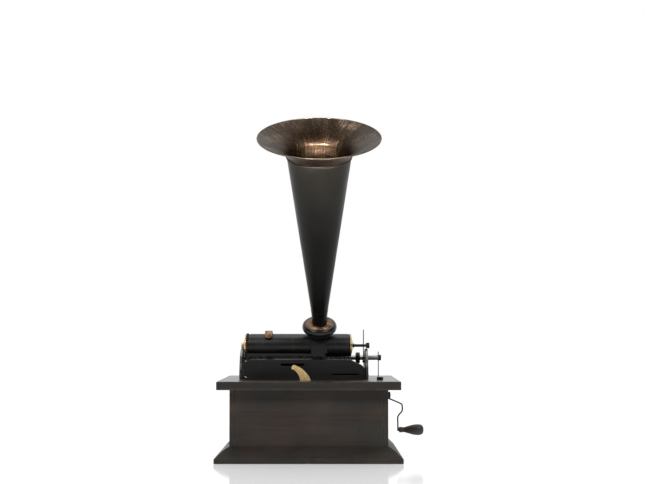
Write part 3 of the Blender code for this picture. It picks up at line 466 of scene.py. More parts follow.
def bar(name, low, high, rounding, material, body, stands_for=()):
    """A straight piece with rounded edges, between two opposite corners."""
    work = bmesh.new()
    block(work, low, high)
    soften(work, rounding)
    return piece(name, work, [material], body, stands_for, weighted=True)


def eased(corners, radius, closed=False, steps=4):
    """Rounds the corners of a line of 2-D points."""
    points = [Vector(corner) for corner in corners]
    if closed:
        points = [points[-1], *points, points[0]]
    line = [] if closed else [points[0]]
    for before, corner, after in zip(points, points[1:], points[2:]):
        reach = min(radius, (before - corner).length * 0.45, (after - corner).length * 0.45)
        start = corner + (before - corner).normalized() * reach
        end = corner + (after - corner).normalized() * reach
        for step in range(steps + 1):
            share = step / steps
            line.append(start.lerp(corner, share).lerp(corner.lerp(end, share), share))
    return line if closed else [*line, points[-1]]


def sleeve(start, end, bore, outer, rounding):
    """The outline of a round tube with eased corners."""
    return eased([(start, bore), (start, outer), (end, outer), (end, bore)], rounding, closed=True)


def curved(controls, steps=6):
    """A smooth line through control points."""
    points = [Vector(point) for point in controls]
    padded = [points[0] * 2 - points[1], *points, points[-1] * 2 - points[-2]]
    line = []
    for a, b, c, d in zip(padded, padded[1:], padded[2:], padded[3:]):
        for step in range(steps):
            t = step / steps
            line.append(0.5 * (2 * b + (c - a) * t + (2 * a - 5 * b + 4 * c - d) * t ** 2
                               + (3 * b - a - 3 * c + d) * t ** 3))
    return [*line, points[-1]]


def revolve(work, profile, centre, axis, closed=True, steps=96):
    """Spins a line of (distance along the axis, radius) points into a surface."""
    side = axis.orthogonal().normalized()
    centre = Vector(centre)
    points = [work.verts.new(centre + axis * along + side * radius) for along, radius in profile]
    pairs = list(zip(points, points[1:]))
    if closed:
        pairs.append((points[-1], points[0]))
    edges = [work.edges.new(pair) for pair in pairs]
    bmesh.ops.spin(work, geom=points + edges, cent=centre, axis=axis, angle=2 * math.pi,
                   steps=steps, use_merge=True, use_duplicate=False)
    bmesh.ops.remove_doubles(work, verts=work.verts, dist=0.000002)


def skin(work, rings):
    """Joins equal rings of points into one closed surface with capped ends."""
    count = len(rings[0])
    for first, second in zip(rings, rings[1:]):
        for n in range(count):
            work.faces.new((first[n], first[(n + 1) % count], second[(n + 1) % count], second[n]))
    work.faces.new(rings[0])
    work.faces.new(rings[-1])
    bmesh.ops.recalc_face_normals(work, faces=work.faces)


def turned(name, profile, centre, axis, material, body, stands_for=(), closed=True, steps=96, smooth=35):
    """A piece turned on a lathe, from a line of (distance along the axis, radius) points."""
    work = bmesh.new()
    revolve(work, profile, centre, axis, closed, steps)
    bmesh.ops.recalc_face_normals(work, faces=work.faces)
    return piece(name, work, [material], body, stands_for, smooth)


def sheet_outline(work, axis):
    """The edge loops of a flat CAD sheet's far side, as lists of points."""
    cap = {face for face in work.faces if face.normal.dot(axis) > 0.999}
    links = {}
    for face in cap:
        for loop in face.loops:
            if loop.link_loop_radial_next.face not in cap:
                links[loop.vert] = loop.link_loop_next.vert
    loops = []
    while links:
        start, following = links.popitem()
        loop = [start.co.copy()]
        while following != start:
            loop.append(following.co.copy())
            following = links.pop(following)
        loops.append(loop)
    return loops


def rounded_loop(points, gentle=28, steps=3):
    """Adds points along the curved stretches of a loop, leaving its true corners alone."""
    count = len(points)
    directions = [(points[(n + 1) % count] - points[n]).normalized() for n in range(count)]
    tangents = []
    for n in range(count):
        before, after = directions[n - 1], directions[n]
        smooth = before.angle(after, 0.0) < math.radians(gentle)
        tangents.append((before + after).normalized() if smooth else None)
    line = []
    for n in range(count):
        start, end = points[n], points[(n + 1) % count]
        leave, arrive = tangents[n], tangents[(n + 1) % count]
        length = (end - start).length
        curves = leave is not None and arrive is not None and length < 0.03
        for step in range(steps if curves else 1):
            t = step / steps if curves else 0
            if t:
                settled = 3 * t ** 2 - 2 * t ** 3
                pull = leave * (t ** 3 - 2 * t ** 2 + t) + arrive * (t ** 3 - t ** 2)
                line.append(start * (1 - settled) + end * settled + pull * length)
            else:
                line.append(start)
    return line


def add_line(curve, places, cyclic=False):
    """Adds a straight-sided line through 3-D places to a curve."""
    spline = curve.splines.new("POLY")
    spline.points.add(len(places) - 1)
    for point, place in zip(spline.points, places):
        point.co = (*place, 1)
    spline.use_cyclic_u = cyclic


def surface_of(curve):
    """The surface that a curve makes, as a bmesh."""
    holder = bpy.data.objects.new("holder", curve)
    bpy.context.scene.collection.objects.link(holder)
    bpy.context.view_layer.update()
    graph = bpy.context.evaluated_depsgraph_get()
    work = bmesh.new()
    work.from_mesh(bpy.data.meshes.new_from_object(holder.evaluated_get(graph)))
    bpy.data.objects.remove(holder)
    return work


def rolled_sheet(node, axis, edge, faces_finish, edges_finish, stands_for=None):
    """A flat CAD sheet made again with smooth curves and rounded edges in a second finish: bare metal on some
    sheets, a painted highlight on others.
    """
    across = Z_AXIS.cross(axis)
    low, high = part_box(node)
    work = copied(node)
    thickness = (high - low).dot(axis)
    middle = (low + high).dot(axis) / 2
    curve = bpy.data.curves.new(node, "CURVE")
    curve.dimensions = "2D"
    curve.fill_mode = "BOTH"
    curve.extrude = thickness / 2 - edge
    curve.bevel_depth = edge
    curve.bevel_resolution = 2
    curve.offset = -edge
    for points in sheet_outline(work, axis):
        line = rounded_loop(points)
        add_line(curve, [(place.dot(across), place.z, 0) for place in line], cyclic=True)
    work.free()
    shape = surface_of(curve)
    for vert in shape.verts:
        u, v, depth = vert.co
        vert.co = across * u + Z_AXIS * v + axis * (middle + depth)
    bmesh.ops.remove_doubles(shape, verts=shape.verts, dist=0.000005)
    bmesh.ops.recalc_face_normals(shape, faces=shape.faces)
    shape.normal_update()
    for face in shape.faces:
        face.material_index = 0 if abs(face.normal.dot(axis)) > 0.5 else 1
    return piece(f"{node}_look", shape, [faces_finish, edges_finish], body_of(node), (stands_for or node,),
                 weighted=True)


def wire(name, route, radius, material, body, stands_for=(), sides=16):
    """A round wire along a line of points."""
    curve = bpy.data.curves.new(name, "CURVE")
    curve.dimensions = "3D"
    curve.bevel_depth = radius
    curve.bevel_resolution = sides // 4
    curve.use_fill_caps = True
    add_line(curve, route)
    return piece(name, surface_of(curve), [material], body, stands_for, smooth=50)


def screw_thread(first, last, radius, pitch, depth):
    """Profile points of thread-like ridges between two places on a round bar."""
    points = []
    for turn in range(int((last - first) / pitch)):
        crest = first + turn * pitch
        points += [(crest, radius), (crest + pitch * 0.5, radius - depth)]
    return points


def knurled(name, radius, start, end, centre, axis, material, body, stands_for=(), ridges=30, depth=0.00035):
    """A round knob with ridges along its edge and chamfered ends."""
    side = axis.orthogonal().normalized()
    other = axis.cross(side)
    chamfer = 0.0006
    stations = ((start, radius - chamfer, 0.3), (start + chamfer, radius, 1.0),
                (end - chamfer, radius, 1.0), (end, radius - chamfer, 0.3))
    count = ridges * 4
    work = bmesh.new()
    rings = []
    for along, reach, strength in stations:
        ring = []
        for n in range(count):
            angle = 2 * math.pi * n / count
            out = reach - depth * strength * (0.5 + 0.5 * math.cos(ridges * angle))
            ring.append(work.verts.new(Vector(centre) + axis * along
                                       + (side * math.cos(angle) + other * math.sin(angle)) * out))
        rings.append(ring)
    skin(work, rings)
    return piece(name, work, [material], body, stands_for, smooth=25)


def round_screw(name, place, axis, radius, material, body):
    """A slotted round-head screw, seated at a place and facing along an axis."""
    side = Z_AXIS.cross(axis).normalized() if abs(axis.z) < 0.9 else X_AXIS
    height = radius * 0.55
    shares = ((0.0, 1.0), (0.45, 0.94), (0.8, 0.68), (1.0, 0.3), (1.0, 0.0))
    dome = [(height * up, radius * out) for up, out in shares]
    slot, floor = radius * 0.13, height * 0.55
    work = bmesh.new()
    revolve(work, dome, place, axis, closed=False, steps=28)
    cut = []
    for vert in work.verts:
        across = (vert.co - Vector(place)).dot(axis.cross(side))
        if abs(across) < slot and (vert.co - Vector(place)).dot(axis) > floor:
            cut.append(vert)
    for vert in cut:
        vert.co -= axis * (vert.co - Vector(place)).dot(axis) * 0.5
    bmesh.ops.recalc_face_normals(work, faces=work.faces)
    return piece(name, work, [material], body, smooth=50)


def ring_middle(node):
    """The middle of a node's box."""
    low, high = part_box(node)
    return (low + high) / 2


def lying(node):
    """A round node along X: its start, its end, its radius, and the point of its axis at X = 0."""
    low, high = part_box(node)
    middle = (low + high) / 2
    return low.x, high.x, (high.z - low.z) / 2, Vector((0, middle.y, middle.z))


def reach_along(node):
    """Where a node starts and ends along the sound axis, measured from the middle of the reproducer."""
    places = [(vertex.co - SOUND_BASE).dot(SOUND_AXIS) for vertex in frame["nodes"][node].data.vertices]
    return min(places), max(places)


def radius_of(node):
    """How far a node reaches from the sound axis."""
    reaches = []
    for vertex in frame["nodes"][node].data.vertices:
        offset = vertex.co - SOUND_BASE
        reaches.append((offset - SOUND_AXIS * offset.dot(SOUND_AXIS)).length)
    return max(reaches)


def node_finish(node):
    return frame["nodes"][node].material_slots[0].material


# ---------------------------------------------------------------- finishes

sound_joint = next(joint for joint in frame["joints"] if joint["name"] == "horn_lift")
SOUND_AXIS = Vector(sound_joint["axis"]).normalized()
SOUND_BASE = ring_middle("reproducer_body")      # middle of the reproducer's disc, on its axis

WOOD_X = stained_wood("stained_wood_long", X_AXIS, 2.0)
WOOD_Y = stained_wood("stained_wood_deep", Y_AXIS, 1.95)
DECK_WOOD = stained_wood("stained_wood_deck", X_AXIS, 0.70, coat=1.0, specular=0.1)
PINE = plain_wood()
IRON = black_iron("black_enamel", (0.0058, 0.0053, 0.0051), (0.042, 0.036, 0.032), 0.46)
DARK_IRON = black_iron("dark_enamel", (0.0045, 0.0043, 0.0042), (0.04, 0.037, 0.035), 0.38, 0.6)
TIN = black_iron("black_tin_paint", (0.0048, 0.0043, 0.0036), (0.020, 0.018, 0.014), 0.34, 0.35, 0.14)
STEEL = metal("ground_steel", (0.16, 0.15, 0.14), (0.56, 0.55, 0.53), 0.26, (30, 700, 700))
BARE_EDGE = metal("bare_iron_edge", (0.04, 0.038, 0.036), (0.30, 0.29, 0.28), 0.34, (200, 200, 200), 0.9)
BRASS = metal("aged_brass", (0.42, 0.28, 0.15), (0.82, 0.60, 0.35), 0.36, (300, 60, 60), 0.15)
GEAR_BRASS = metal("dark_brass", (0.030, 0.020, 0.012), (0.16, 0.105, 0.055), 0.40, (260, 260, 260), 0.7)
# The lever's brass is paler and less metallic than the other brass: painted light, standing in for the light
# from above on its sloped face.
LIT_LEVER_BRASS = metal("lever_brass", (0.74, 0.40, 0.14), (1.0, 0.76, 0.36), 0.48, (420, 420, 420), 0.8,
                    metallic=0.1, patches=300.0)
# Its edges are paler still: a painted highlight along the lever's rim.
LEVER_RIM_HIGHLIGHT = metal("lever_edge_brass", (0.70, 0.50, 0.30), (1.0, 0.84, 0.62), 0.34, (300, 300, 300), 0.2,
                   metallic=0.7)
COPPER = metal("worn_copper", (0.08, 0.045, 0.025), (0.36, 0.21, 0.12), 0.42, (260, 260, 260), 1.0)
CRANK_IRON = black_iron("crank_enamel", (0.020, 0.019, 0.018), (0.16, 0.15, 0.14), 0.34, 0.3)
# The guide bar's edges are painted a lighter grey than its enamel: a painted highlight along them.
GUIDE_EDGE_HIGHLIGHT = black_iron("guide_edge", (0.022, 0.020, 0.019), (0.20, 0.18, 0.17), 0.36, 0.3)
GLOSS_BLACK = black_iron("gloss_black", (0.0040, 0.0038, 0.0037), (0.045, 0.040, 0.036), 0.26, 0.2)
GRIP_WOOD = stained_wood("grip_wood", X_AXIS, 2.2, specular=0.5)
RIM = metal("rim_bronze", (0.03, 0.024, 0.018), (0.11, 0.085, 0.06), 0.36, (200, 200, 200), 0.7)
WAX = record_wax(0.00025)
LEATHER_WITH_PAINTED_SHADE = belt_leather()
MICA = mica()
BELL_INSIDE = streaked_metal(
    "bell_bronze", SOUND_BASE, SOUND_AXIS,
    ((0.36, (0.010, 0.0065, 0.004)), (0.47, (0.026, 0.016, 0.0095)), (0.56, (0.065, 0.042, 0.026)),
     (0.68, (0.30, 0.22, 0.145))),
    roughness=(0.32, 0.48),
)
BELL_OUTSIDE = streaked_metal(
    "bell_bronze_back", SOUND_BASE, SOUND_AXIS,
    ((0.36, (0.018, 0.013, 0.010)), (0.50, (0.050, 0.034, 0.024)), (0.66, (0.15, 0.095, 0.06))),
    roughness=(0.36, 0.55),
)

# The record's material slots. The first finish of each is the one that its CAD nodes take.
FINISHES_OF_SLOT = {
    "stained_wood": (WOOD_X, WOOD_Y, DECK_WOOD, GRIP_WOOD),
    "plain_wood": (PINE,),
    "black_iron": (IRON, DARK_IRON, CRANK_IRON, GUIDE_EDGE_HIGHLIGHT, GLOSS_BLACK),
    "black_tin": (TIN,),
    "bronze": (BELL_OUTSIDE, BELL_INSIDE, RIM),
    "brass": (BRASS, GEAR_BRASS, LIT_LEVER_BRASS, LEVER_RIM_HIGHLIGHT, COPPER),
    "steel": (STEEL, BARE_EDGE),
    "wax": (WAX,),
    "leather": (LEATHER_WITH_PAINTED_SHADE,),
    "mica": (MICA,),
}
for node in frame["nodes"].values():
    for holder in node.material_slots:
        holder.material = FINISHES_OF_SLOT[holder.material.name][0]


# ---------------------------------------------------------------- cabinet

def make_cabinet():
    low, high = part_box("case_front")
    joint, crack = 0.0085, 0.00012
    for name, left, right, stands_for in (
        ("front_panel", low.x + joint, high.x - joint, ("case_front",)),
        ("front_left_stile", low.x, low.x + joint - crack, ()),
        ("front_right_stile", high.x - joint + crack, high.x, ()),
    ):
        bar(name, (left, low.y, low.z), (right, high.y, high.z), 0.0005, WOOD_X, "case", stands_for)
    softened("case_back", 0.0008, WOOD_X)
    softened("case_left", 0.0006, WOOD_Y)
    softened("case_right", 0.0006, WOOD_Y)
    softened("bottom_board", 0.0005, PINE)
    for node in ("plinth_front_left", "plinth_front_right", "plinth_back"):
        softened(node, 0.0006, WOOD_X)
    softened("plinth_left", 0.0006, WOOD_Y)
    softened("plinth_right", 0.0006, WOOD_Y)
    softened("deck_board", 0.0005, DECK_WOOD)


def make_cabinet_screws():
    """Wood screws through the back board."""
    low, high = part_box("case_back")
    inset = 0.014
    for number, (x, z) in enumerate(((low.x + inset, 0.045), (high.x - inset, 0.045),
                                     (low.x + inset, high.z - inset), (high.x - inset, high.z - inset)), 1):
        round_screw(f"back_screw_{number}", (x, high.y - 0.0002, z), Y_AXIS, 0.0030, STEEL, "case")


# ---------------------------------------------------------------- upper works

def make_housing():
    low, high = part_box("housing")
    softened("housing", 0.0009, IRON)
    foot, inset = 0.0022, 0.001
    front = low.y - 0.0001
    bar("housing_foot", (low.x + inset, low.y - foot, low.z),
        (high.x - inset, low.y - 0.00005, low.z + foot), 0.0006, IRON, "case")
    for number, z in enumerate((low.z + 0.0030, high.z - 0.0028), 1):
        round_screw(f"housing_screw_{number}", (low.x + 0.0040, front, z), -Y_AXIS, 0.0015, STEEL, "case")


def make_end_plates():
    rolled_sheet("left_end_plate", X_AXIS, 0.0007, IRON, BARE_EDGE)
    rolled_sheet("right_end_plate", X_AXIS, 0.0007, IRON, BARE_EDGE)
    start, end, outer, centre = lying("arbor_bush")
    profile = sleeve(start, end, bore=0.0027, outer=outer, rounding=0.0006)
    turned("arbor_bush_look", profile, centre, X_AXIS, BRASS, "case", ("arbor_bush",), steps=64)
    plate_low, plate_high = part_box("left_end_plate")
    for side, x, out in (("left", plate_low.x, -X_AXIS), ("right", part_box("right_end_plate")[1].x, X_AXIS)):
        for number, y in enumerate((plate_low.y + 0.012, plate_high.y - 0.012), 1):
            place = (x, y, plate_low.z + 0.007)
            round_screw(f"{side}_plate_screw_{number}", place, out, 0.0024, STEEL, "case")


def make_rods():
    start, end, _, centre = lying("back_rod")
    radius, knob_radius = 0.00475, 0.0056
    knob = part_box("rod_post")[1].x + 0.0004
    profile = eased([(start, 0.0), (start, radius), (knob, radius), (knob, 0.0)], 0.0005)
    turned("back_rod_look", profile, centre, X_AXIS, STEEL, "case", ("back_rod",), closed=False, steps=64)
    knob_outline = [(knob, 0.0), (knob, knob_radius), (end - 0.0006, knob_radius),
                    (end, knob_radius - 0.0014), (end, 0.0)]
    turned("rod_knob", eased(knob_outline, 0.0008), centre, X_AXIS, DARK_IRON, "case", closed=False, steps=64)
    rolled_sheet("rod_post", X_AXIS, 0.0003, DARK_IRON, BARE_EDGE)
    rolled_sheet("guide_bar", Y_AXIS, 0.0006, IRON, GUIDE_EDGE_HIGHLIGHT)
    start, end, outer, centre = lying("feed_screw")
    first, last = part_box("feed_gear")[1].x + 0.006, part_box("feed_pulley")[0].x - 0.006
    thread = screw_thread(first, last, outer, pitch=0.0016, depth=0.0005)
    profile = [(start, 0.0), (start, outer), *thread, (last, outer), (end, outer), (end, 0.0)]
    turned("feed_screw_look", profile, centre, X_AXIS, STEEL, "feed", ("feed_screw",), closed=False,
           steps=32, smooth=20)


# ---------------------------------------------------------------- mandrel

def make_mandrel():
    start, end, outer, centre = lying("record_cylinder")
    inner = outer - 0.0029
    shoulder, drop = 0.0045, 0.0004
    profile = eased([
        (start, inner), (start, outer - drop), (start + shoulder, outer - drop),
        (start + shoulder + drop, outer), (end - shoulder - drop, outer), (end - shoulder, outer - drop),
        (end, outer - drop), (end, inner),
    ], 0.0007, closed=True)
    turned("record_look", profile, centre, X_AXIS, WAX, "mandrel", ("record_cylinder",), steps=128, smooth=50)
    for node, outward in (("left_end_cap", -1), ("right_end_cap", 1)):
        start, end, reach, _ = lying(node)
        base = end if outward < 0 else start
        depth, bore = end - start, 0.0031
        dome = [(0.0, bore), (0.0, reach - 0.0009), (0.0006, reach - 0.0002), (0.0013, reach),
                (0.0020, reach - 0.0003), (0.0024, reach - 0.0012), (0.0023, reach - 0.0022),
                (0.0032, 0.0155), (0.0043, 0.0115), (0.0051, 0.0078), (depth, 0.0072), (depth, bore)]
        profile = [(base + outward * along, radius) for along, radius in eased(dome, 0.0006, closed=True)]
        turned(f"{node}_look", profile, centre, X_AXIS, BRASS, "mandrel", (node,), steps=96, smooth=45)
    start, end, shaft, _ = lying("mandrel_arbor")
    collar, collar_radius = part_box("right_end_cap")[1].x + 0.0002, 0.0040
    profile = [(start, 0.0), (start, shaft), (collar, shaft), (collar, collar_radius),
               (collar + 0.002, collar_radius), (collar + 0.0026, shaft), (end, shaft), (end, 0.0)]
    turned("arbor_look", eased(profile, 0.0003), centre, X_AXIS, DARK_IRON, "mandrel", ("mandrel_arbor",),
           closed=False, steps=48)
    start, end, radius, _ = lying("arbor_knob")
    knurled("arbor_knob_look", radius, start, end, centre, X_AXIS, DARK_IRON, "mandrel", ("arbor_knob",),
            ridges=24)
    for node in ("mandrel_gear", "feed_gear"):
        softened(node, 0.00015, GEAR_BRASS)
    softened("feed_pulley", 0.00015, DARK_IRON)


# ---------------------------------------------------------------- bent strips

def arc_route(centre, radius, start, end, steps=40):
    """(y, z) points about an X axis, where 180 degrees is the front and 90 the top."""
    route = []
    for step in range(steps + 1):
        angle = math.radians(start + (end - start) * step / steps)
        route.append(Vector((centre.y + radius * math.cos(angle), centre.z + radius * math.sin(angle))))
    return route


def strip(work, route, left, right, thickness, tip=0.0, rounding=0.0003):
    """Adds a strip bent along (y, z) points, thick on the left of its travel; a tip rounds its first end."""
    middle, half = (left + right) / 2, (right - left) / 2
    travelled = 0.0
    rings = []
    for number, point in enumerate(route):
        before = route[max(number - 1, 0)]
        after = route[min(number + 1, len(route) - 1)]
        travelled += (point - before).length
        ahead = (after - before).normalized()
        outward = Vector((-ahead.y, ahead.x))
        share = min(travelled / tip, 1.0) if tip else 1.0
        reach = max(half * math.sqrt(1 - (1 - share) ** 3), rounding * 1.5)
        section = [(-reach + rounding, 0), (reach - rounding, 0), (reach, rounding),
                   (reach, thickness - rounding)]
        section += [(-across, thickness - lift) for across, lift in section]
        ring = []
        for across, lift in section:
            place = point + outward * lift
            ring.append(work.verts.new((middle + across, place.x, place.y)))
        rings.append(ring)
    skin(work, rings)


# ---------------------------------------------------------------- carriage and reproducer

def make_carriage():
    softened("carriage_arm", 0.0005, IRON)
    start, end, outer, centre = lying("carriage_bush")
    _, _, record_radius, mandrel = lying("record_cylinder")
    arch = record_radius + 0.0067
    for name, left, right in (("left_rib", start, start + 0.0012), ("right_rib", end - 0.0024, end)):
        work = bmesh.new()
        strip(work, arc_route(mandrel, arch, 177, 55), left, right, 0.0011)
        piece(f"carriage_{name}", work, [IRON], "carriage")
    profile = sleeve(start, end, bore=0.0048, outer=outer, rounding=0.0004)
    turned("carriage_bush_look", profile, centre, X_AXIS, BRASS, "slider", ("carriage_bush",), steps=64)
    softened("half_nut", 0.0003, GEAR_BRASS)


def make_reproducer():
    body_low, body_high = reach_along("reproducer_body")
    reach = radius_of("reproducer_body")
    roll, crest = 0.0054, 0.0015
    outline = [(body_high - 0.0006, 0.0060), (body_high - 0.0006, 0.0251)]
    for step in range(19):
        angle = math.radians(105 - step * 195 / 18)
        lift = body_high + crest if angle > 0 else -body_low
        outline.append((lift * math.sin(angle), reach - roll + roll * math.cos(angle)))
    outline += [(body_low, 0.0225), (body_low + 0.006, 0.0225), (body_low + 0.006, 0.0060)]
    turned("reproducer_body_look", outline, SOUND_BASE, SOUND_AXIS, GLOSS_BLACK, "carriage",
           ("reproducer_body",), steps=128, smooth=40)
    face, top = reach_along("reproducer_face")
    edge = radius_of("reproducer_face")
    outline = [(face, 0.0055), (face, edge - 0.0002), (face + 0.0007, edge), (face + 0.0015, edge - 0.0009)]
    for ring in range(4):
        groove = edge - 0.0022 - ring * 0.0020
        for depth, offset in ((0.0017, 0.0006), (0.0012, 0.0), (0.0017, -0.0006)):
            outline.append((face + depth, groove + offset))
    outline += [(face + 0.0018, 0.0137), (face + 0.0023, 0.0119), (top, 0.0114), (top, 0.0055)]
    turned("reproducer_face_look", outline, SOUND_BASE, SOUND_AXIS, COPPER, "carriage",
           ("reproducer_face",), steps=128, smooth=30)


# ---------------------------------------------------------------- horn

def horn_shell(node, outside, materials, steps, smooth, wall=0.0010):
    """A thin shell about the sound axis; faces that look towards the axis take the second material."""
    inside = [(along, radius - wall) for along, radius in reversed(outside)]
    work = bmesh.new()
    revolve(work, [*outside, *inside], SOUND_BASE, SOUND_AXIS, steps=steps)
    bmesh.ops.recalc_face_normals(work, faces=work.faces)
    for face in work.faces:
        offset = face.calc_center_median() - SOUND_BASE
        radial = offset - SOUND_AXIS * offset.dot(SOUND_AXIS)
        face.material_index = 1 if face.normal.dot(radial) < 0 else 0
    piece(f"{node}_look", work, materials, "horn", (node,), smooth=smooth)


def beads(name, places, material, smooth=60):
    """A piece made of round beads about the sound axis, each at (distance along, radius, thickness)."""
    work = bmesh.new()
    for along, radius, thickness in places:
        circle = []
        for step in range(12):
            angle = 2 * math.pi * step / 12
            circle.append((along + thickness * math.cos(angle), radius + thickness * math.sin(angle)))
        revolve(work, circle, SOUND_BASE, SOUND_AXIS, steps=128)
    bmesh.ops.recalc_face_normals(work, faces=work.faces)
    piece(name, work, [material], "horn", smooth=smooth)


def make_horn_cone():
    ferrule = 0.0262
    tip, neck = reach_along("horn_cone")
    neck_radius = radius_of("horn_cone")
    tip_radius, ferrule_radius = 0.0132, 0.0153
    outside = eased([(tip, tip_radius), (tip + ferrule, ferrule_radius), (neck, neck_radius)], 0.010, steps=8)
    horn_shell("horn_cone", outside, [TIN, BELL_INSIDE], steps=128, smooth=40)
    places = ((tip + 0.0012, tip_radius, 0.0007), (tip + ferrule, ferrule_radius - 0.0001, 0.0006))
    beads("cone_beads", places, TIN, smooth=35)
    back = SOUND_AXIS.cross(X_AXIS)
    half, lift = 0.0016, 0.0004
    work = bmesh.new()
    ends = []
    for along, radius in ((tip + ferrule + 0.001, ferrule_radius), (neck - 0.002, neck_radius - 0.0003)):
        foot = SOUND_BASE + SOUND_AXIS * along + back * (radius - 0.0003)
        ends.append([work.verts.new(foot + X_AXIS * across + back * rise)
                     for across, rise in ((-half, 0), (half, 0), (half, 0.0003), (half * 0.7, lift + 0.0003),
                                          (-half * 0.7, lift + 0.0003), (-half, 0.0003))])
    skin(work, ends)
    piece("cone_seam", work, [TIN], "horn")


def make_horn_bell():
    steps = 44
    neck, mouth = reach_along("horn_bell")
    neck_radius, mouth_radius = radius_of("horn_cone"), radius_of("horn_bell")
    outside = []
    for step in range(steps + 1):
        share = step / steps
        widening = share ** (1 / 0.62)
        outside.append((neck + (mouth - neck) * share, neck_radius + (mouth_radius - neck_radius) * widening))
    horn_shell("horn_bell", outside, [BELL_OUTSIDE, BELL_INSIDE], steps=160, smooth=50)
    beads("bell_rim", [(mouth - 0.0004, mouth_radius - 0.0006, 0.0010)], RIM)
    beads("neck_bead", [(neck - 0.0008, neck_radius + 0.0001, 0.0011)], TIN)


# ---------------------------------------------------------------- catch, gate and controls

def make_catch():
    """Brass finger over the record, with a rounded tip and a sleeve on the back rod."""
    low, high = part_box("record_catch")
    _, _, record_radius, mandrel = lying("record_cylinder")
    _, _, _, rod = lying("back_rod")
    inner = record_radius + 0.0039
    work = bmesh.new()
    route = arc_route(mandrel, inner, 149, 33, 84)
    route += [Vector((rod.y - 0.0085, rod.z + 0.0105)), Vector((rod.y - 0.0050, rod.z + 0.0058))]
    strip(work, route, low.x, high.x, thickness=0.0020, tip=(high.x - low.x) * 0.35, rounding=0.0005)
    profile = sleeve(low.x, high.x, bore=0.0048, outer=0.0079, rounding=0.0007)
    revolve(work, profile, rod, X_AXIS, steps=64)
    bmesh.ops.recalc_face_normals(work, faces=work.faces)
    piece("record_catch_look", work, [COPPER], "catch", ("record_catch",), smooth=40)


def make_controls():
    softened("end_gate", 0.0003, DARK_IRON)
    rolled_sheet("start_lever", Y_AXIS, 0.0008, LIT_LEVER_BRASS, LEVER_RIM_HIGHLIGHT)
    low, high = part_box("speed_screw")
    middle = ring_middle("speed_screw")
    deck_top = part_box("deck_board")[1].z
    foot, shank = deck_top + 0.0003, 0.0020
    knurled("speed_screw_look", (high.x - low.x) / 2, foot, high.z, (middle.x, middle.y, 0), Z_AXIS,
            DARK_IRON, "speed", ("speed_screw",), ridges=26)
    first, last = low.z + 0.0008, deck_top - 0.0052
    profile = [(low.z, 0.0), (first, shank - 0.0002), *screw_thread(first, last, shank, 0.0009, 0.0003),
               (deck_top - 0.004, shank), (foot + 0.001, shank), (foot + 0.001, 0.0)]
    turned("speed_screw_shank", profile, (middle.x, middle.y, 0), Z_AXIS, STEEL, "speed", closed=False,
           steps=24, smooth=20)
    softened("speed_rocker", 0.0003, STEEL)
    washer_top, washer_foot = deck_top + 0.0002, deck_top - 0.0002
    profile = [(washer_top, 0.0), (washer_top, 0.0062), (washer_foot, 0.0066), (washer_foot, 0.0)]
    turned("speed_washer", profile, (middle.x, middle.y, 0), Z_AXIS, STEEL, "case", closed=False, steps=48)


# ---------------------------------------------------------------- crank

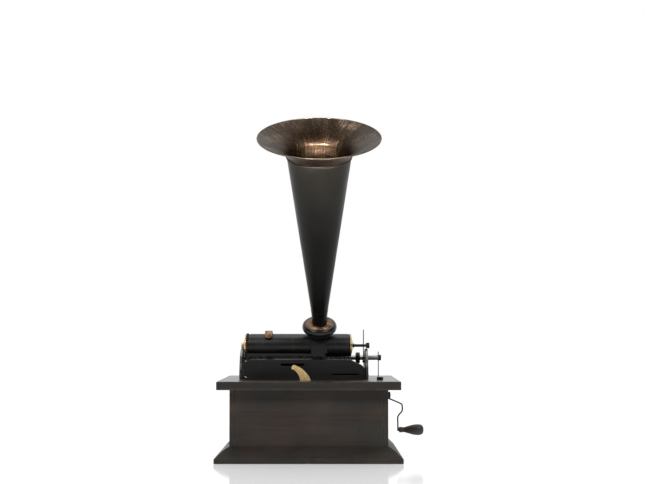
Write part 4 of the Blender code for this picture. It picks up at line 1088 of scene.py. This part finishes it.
def make_crank():
    low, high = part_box("crank_arm")
    axis = ring_middle("crank_bush")
    grip_axis = ring_middle("crank_grip")
    wire_radius, hub_length, hub_radius = 0.0014, 0.0055, 0.0068
    bore, spindle, washer = 0.0031, 0.0017, 0.0026
    hub = low.x + hub_length
    bulge, clear = hub + 0.0220, hub + 0.0137
    route = curved([
        (hub - 0.0025, axis.y, axis.z - 0.0058), (hub + 0.0010, axis.y, axis.z - 0.0070),
        (hub + 0.0175, axis.y, axis.z - 0.0140), (hub + 0.0211, axis.y, axis.z - 0.0166),
        (bulge, axis.y, axis.z - 0.0205), (bulge, axis.y, axis.z - 0.0263),
        (hub + 0.0206, axis.y, axis.z - 0.0300), (hub + 0.0158, axis.y, axis.z - 0.0354),
        (clear, axis.y, axis.z - 0.0400),
        (clear, axis.y, axis.z - 0.0500), (clear + 0.0003, axis.y, grip_axis.z),
    ])
    wire("crank_arm_look", route, wire_radius, CRANK_IRON, "crank", ("crank_arm",), sides=20)
    centre = (0, axis.y, axis.z)
    profile = sleeve(low.x, hub, bore, hub_radius, rounding=0.0008)
    turned("crank_hub", profile, centre, X_AXIS, CRANK_IRON, "crank", steps=64)
    inner, outer = clear - 0.0012, clear + 0.0020
    profile = [(inner, 0.0), (inner, washer), (outer, washer), (outer, spindle), (high.x, spindle),
               (high.x, 0.0)]
    turned("grip_pin", profile, (0, grip_axis.y, grip_axis.z), X_AXIS, CRANK_IRON, "crank", closed=False,
           steps=32, smooth=40)
    inner, outer, end_radius = hub - 0.003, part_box("crank_shaft")[1].x + 0.0008, 0.0030
    profile = [(inner, 0.0), (inner, end_radius), (outer - 0.0007, end_radius), (outer, end_radius - 0.0008),
               (outer, 0.0)]
    turned("shaft_end", profile, centre, X_AXIS, STEEL, "crank", closed=False, steps=32)
    softened("crank_shaft", 0.0002, STEEL)
    start, end, rim, _ = lying("crank_bush")
    barrel, flange = 0.0060, end - 0.0018
    profile = [(start, bore), (start, barrel), (flange, barrel), (flange, rim), (end - 0.0004, rim),
               (end, rim - 0.0006), (end, bore)]
    turned("crank_bush_look", profile, centre, X_AXIS, BRASS, "case", ("crank_bush",), steps=64)


def make_grip():
    start, end, _, centre = lying("crank_grip")
    swell = curved([
        (0.0, 0.0046), (0.02, 0.0050), (0.13, 0.0050), (0.16, 0.0046), (0.24, 0.0050), (0.38, 0.0068),
        (0.56, 0.0090), (0.74, 0.0100), (0.88, 0.0093), (0.96, 0.0070), (0.992, 0.0036), (1.0, 0.0),
    ], steps=5)
    outside = [(start + (end - start) * share, max(radius, 0.0)) for share, radius in swell]
    turned("crank_grip_look", [(start, 0.0020), *outside], centre, X_AXIS, GRIP_WOOD, "grip",
           ("crank_grip",), closed=False, steps=72, smooth=50)


# ---------------------------------------------------------------- motor

def make_motor():
    for node in ("motor_plate_left", "motor_plate_right", "spring_barrel", "barrel_cover", "winding_wheel",
                 "second_arbor", "pulley_arbor", "governor_weights"):
        softened(node, 0.0002, node_finish(node))
    softened("drive_belt", 0.0003, LEATHER_WITH_PAINTED_SHADE)


make_cabinet()
make_cabinet_screws()
make_housing()
make_end_plates()
make_rods()
make_mandrel()
make_carriage()
make_reproducer()
make_horn_cone()
make_horn_bell()
make_catch()
make_controls()
make_crank()
make_grip()
make_motor()
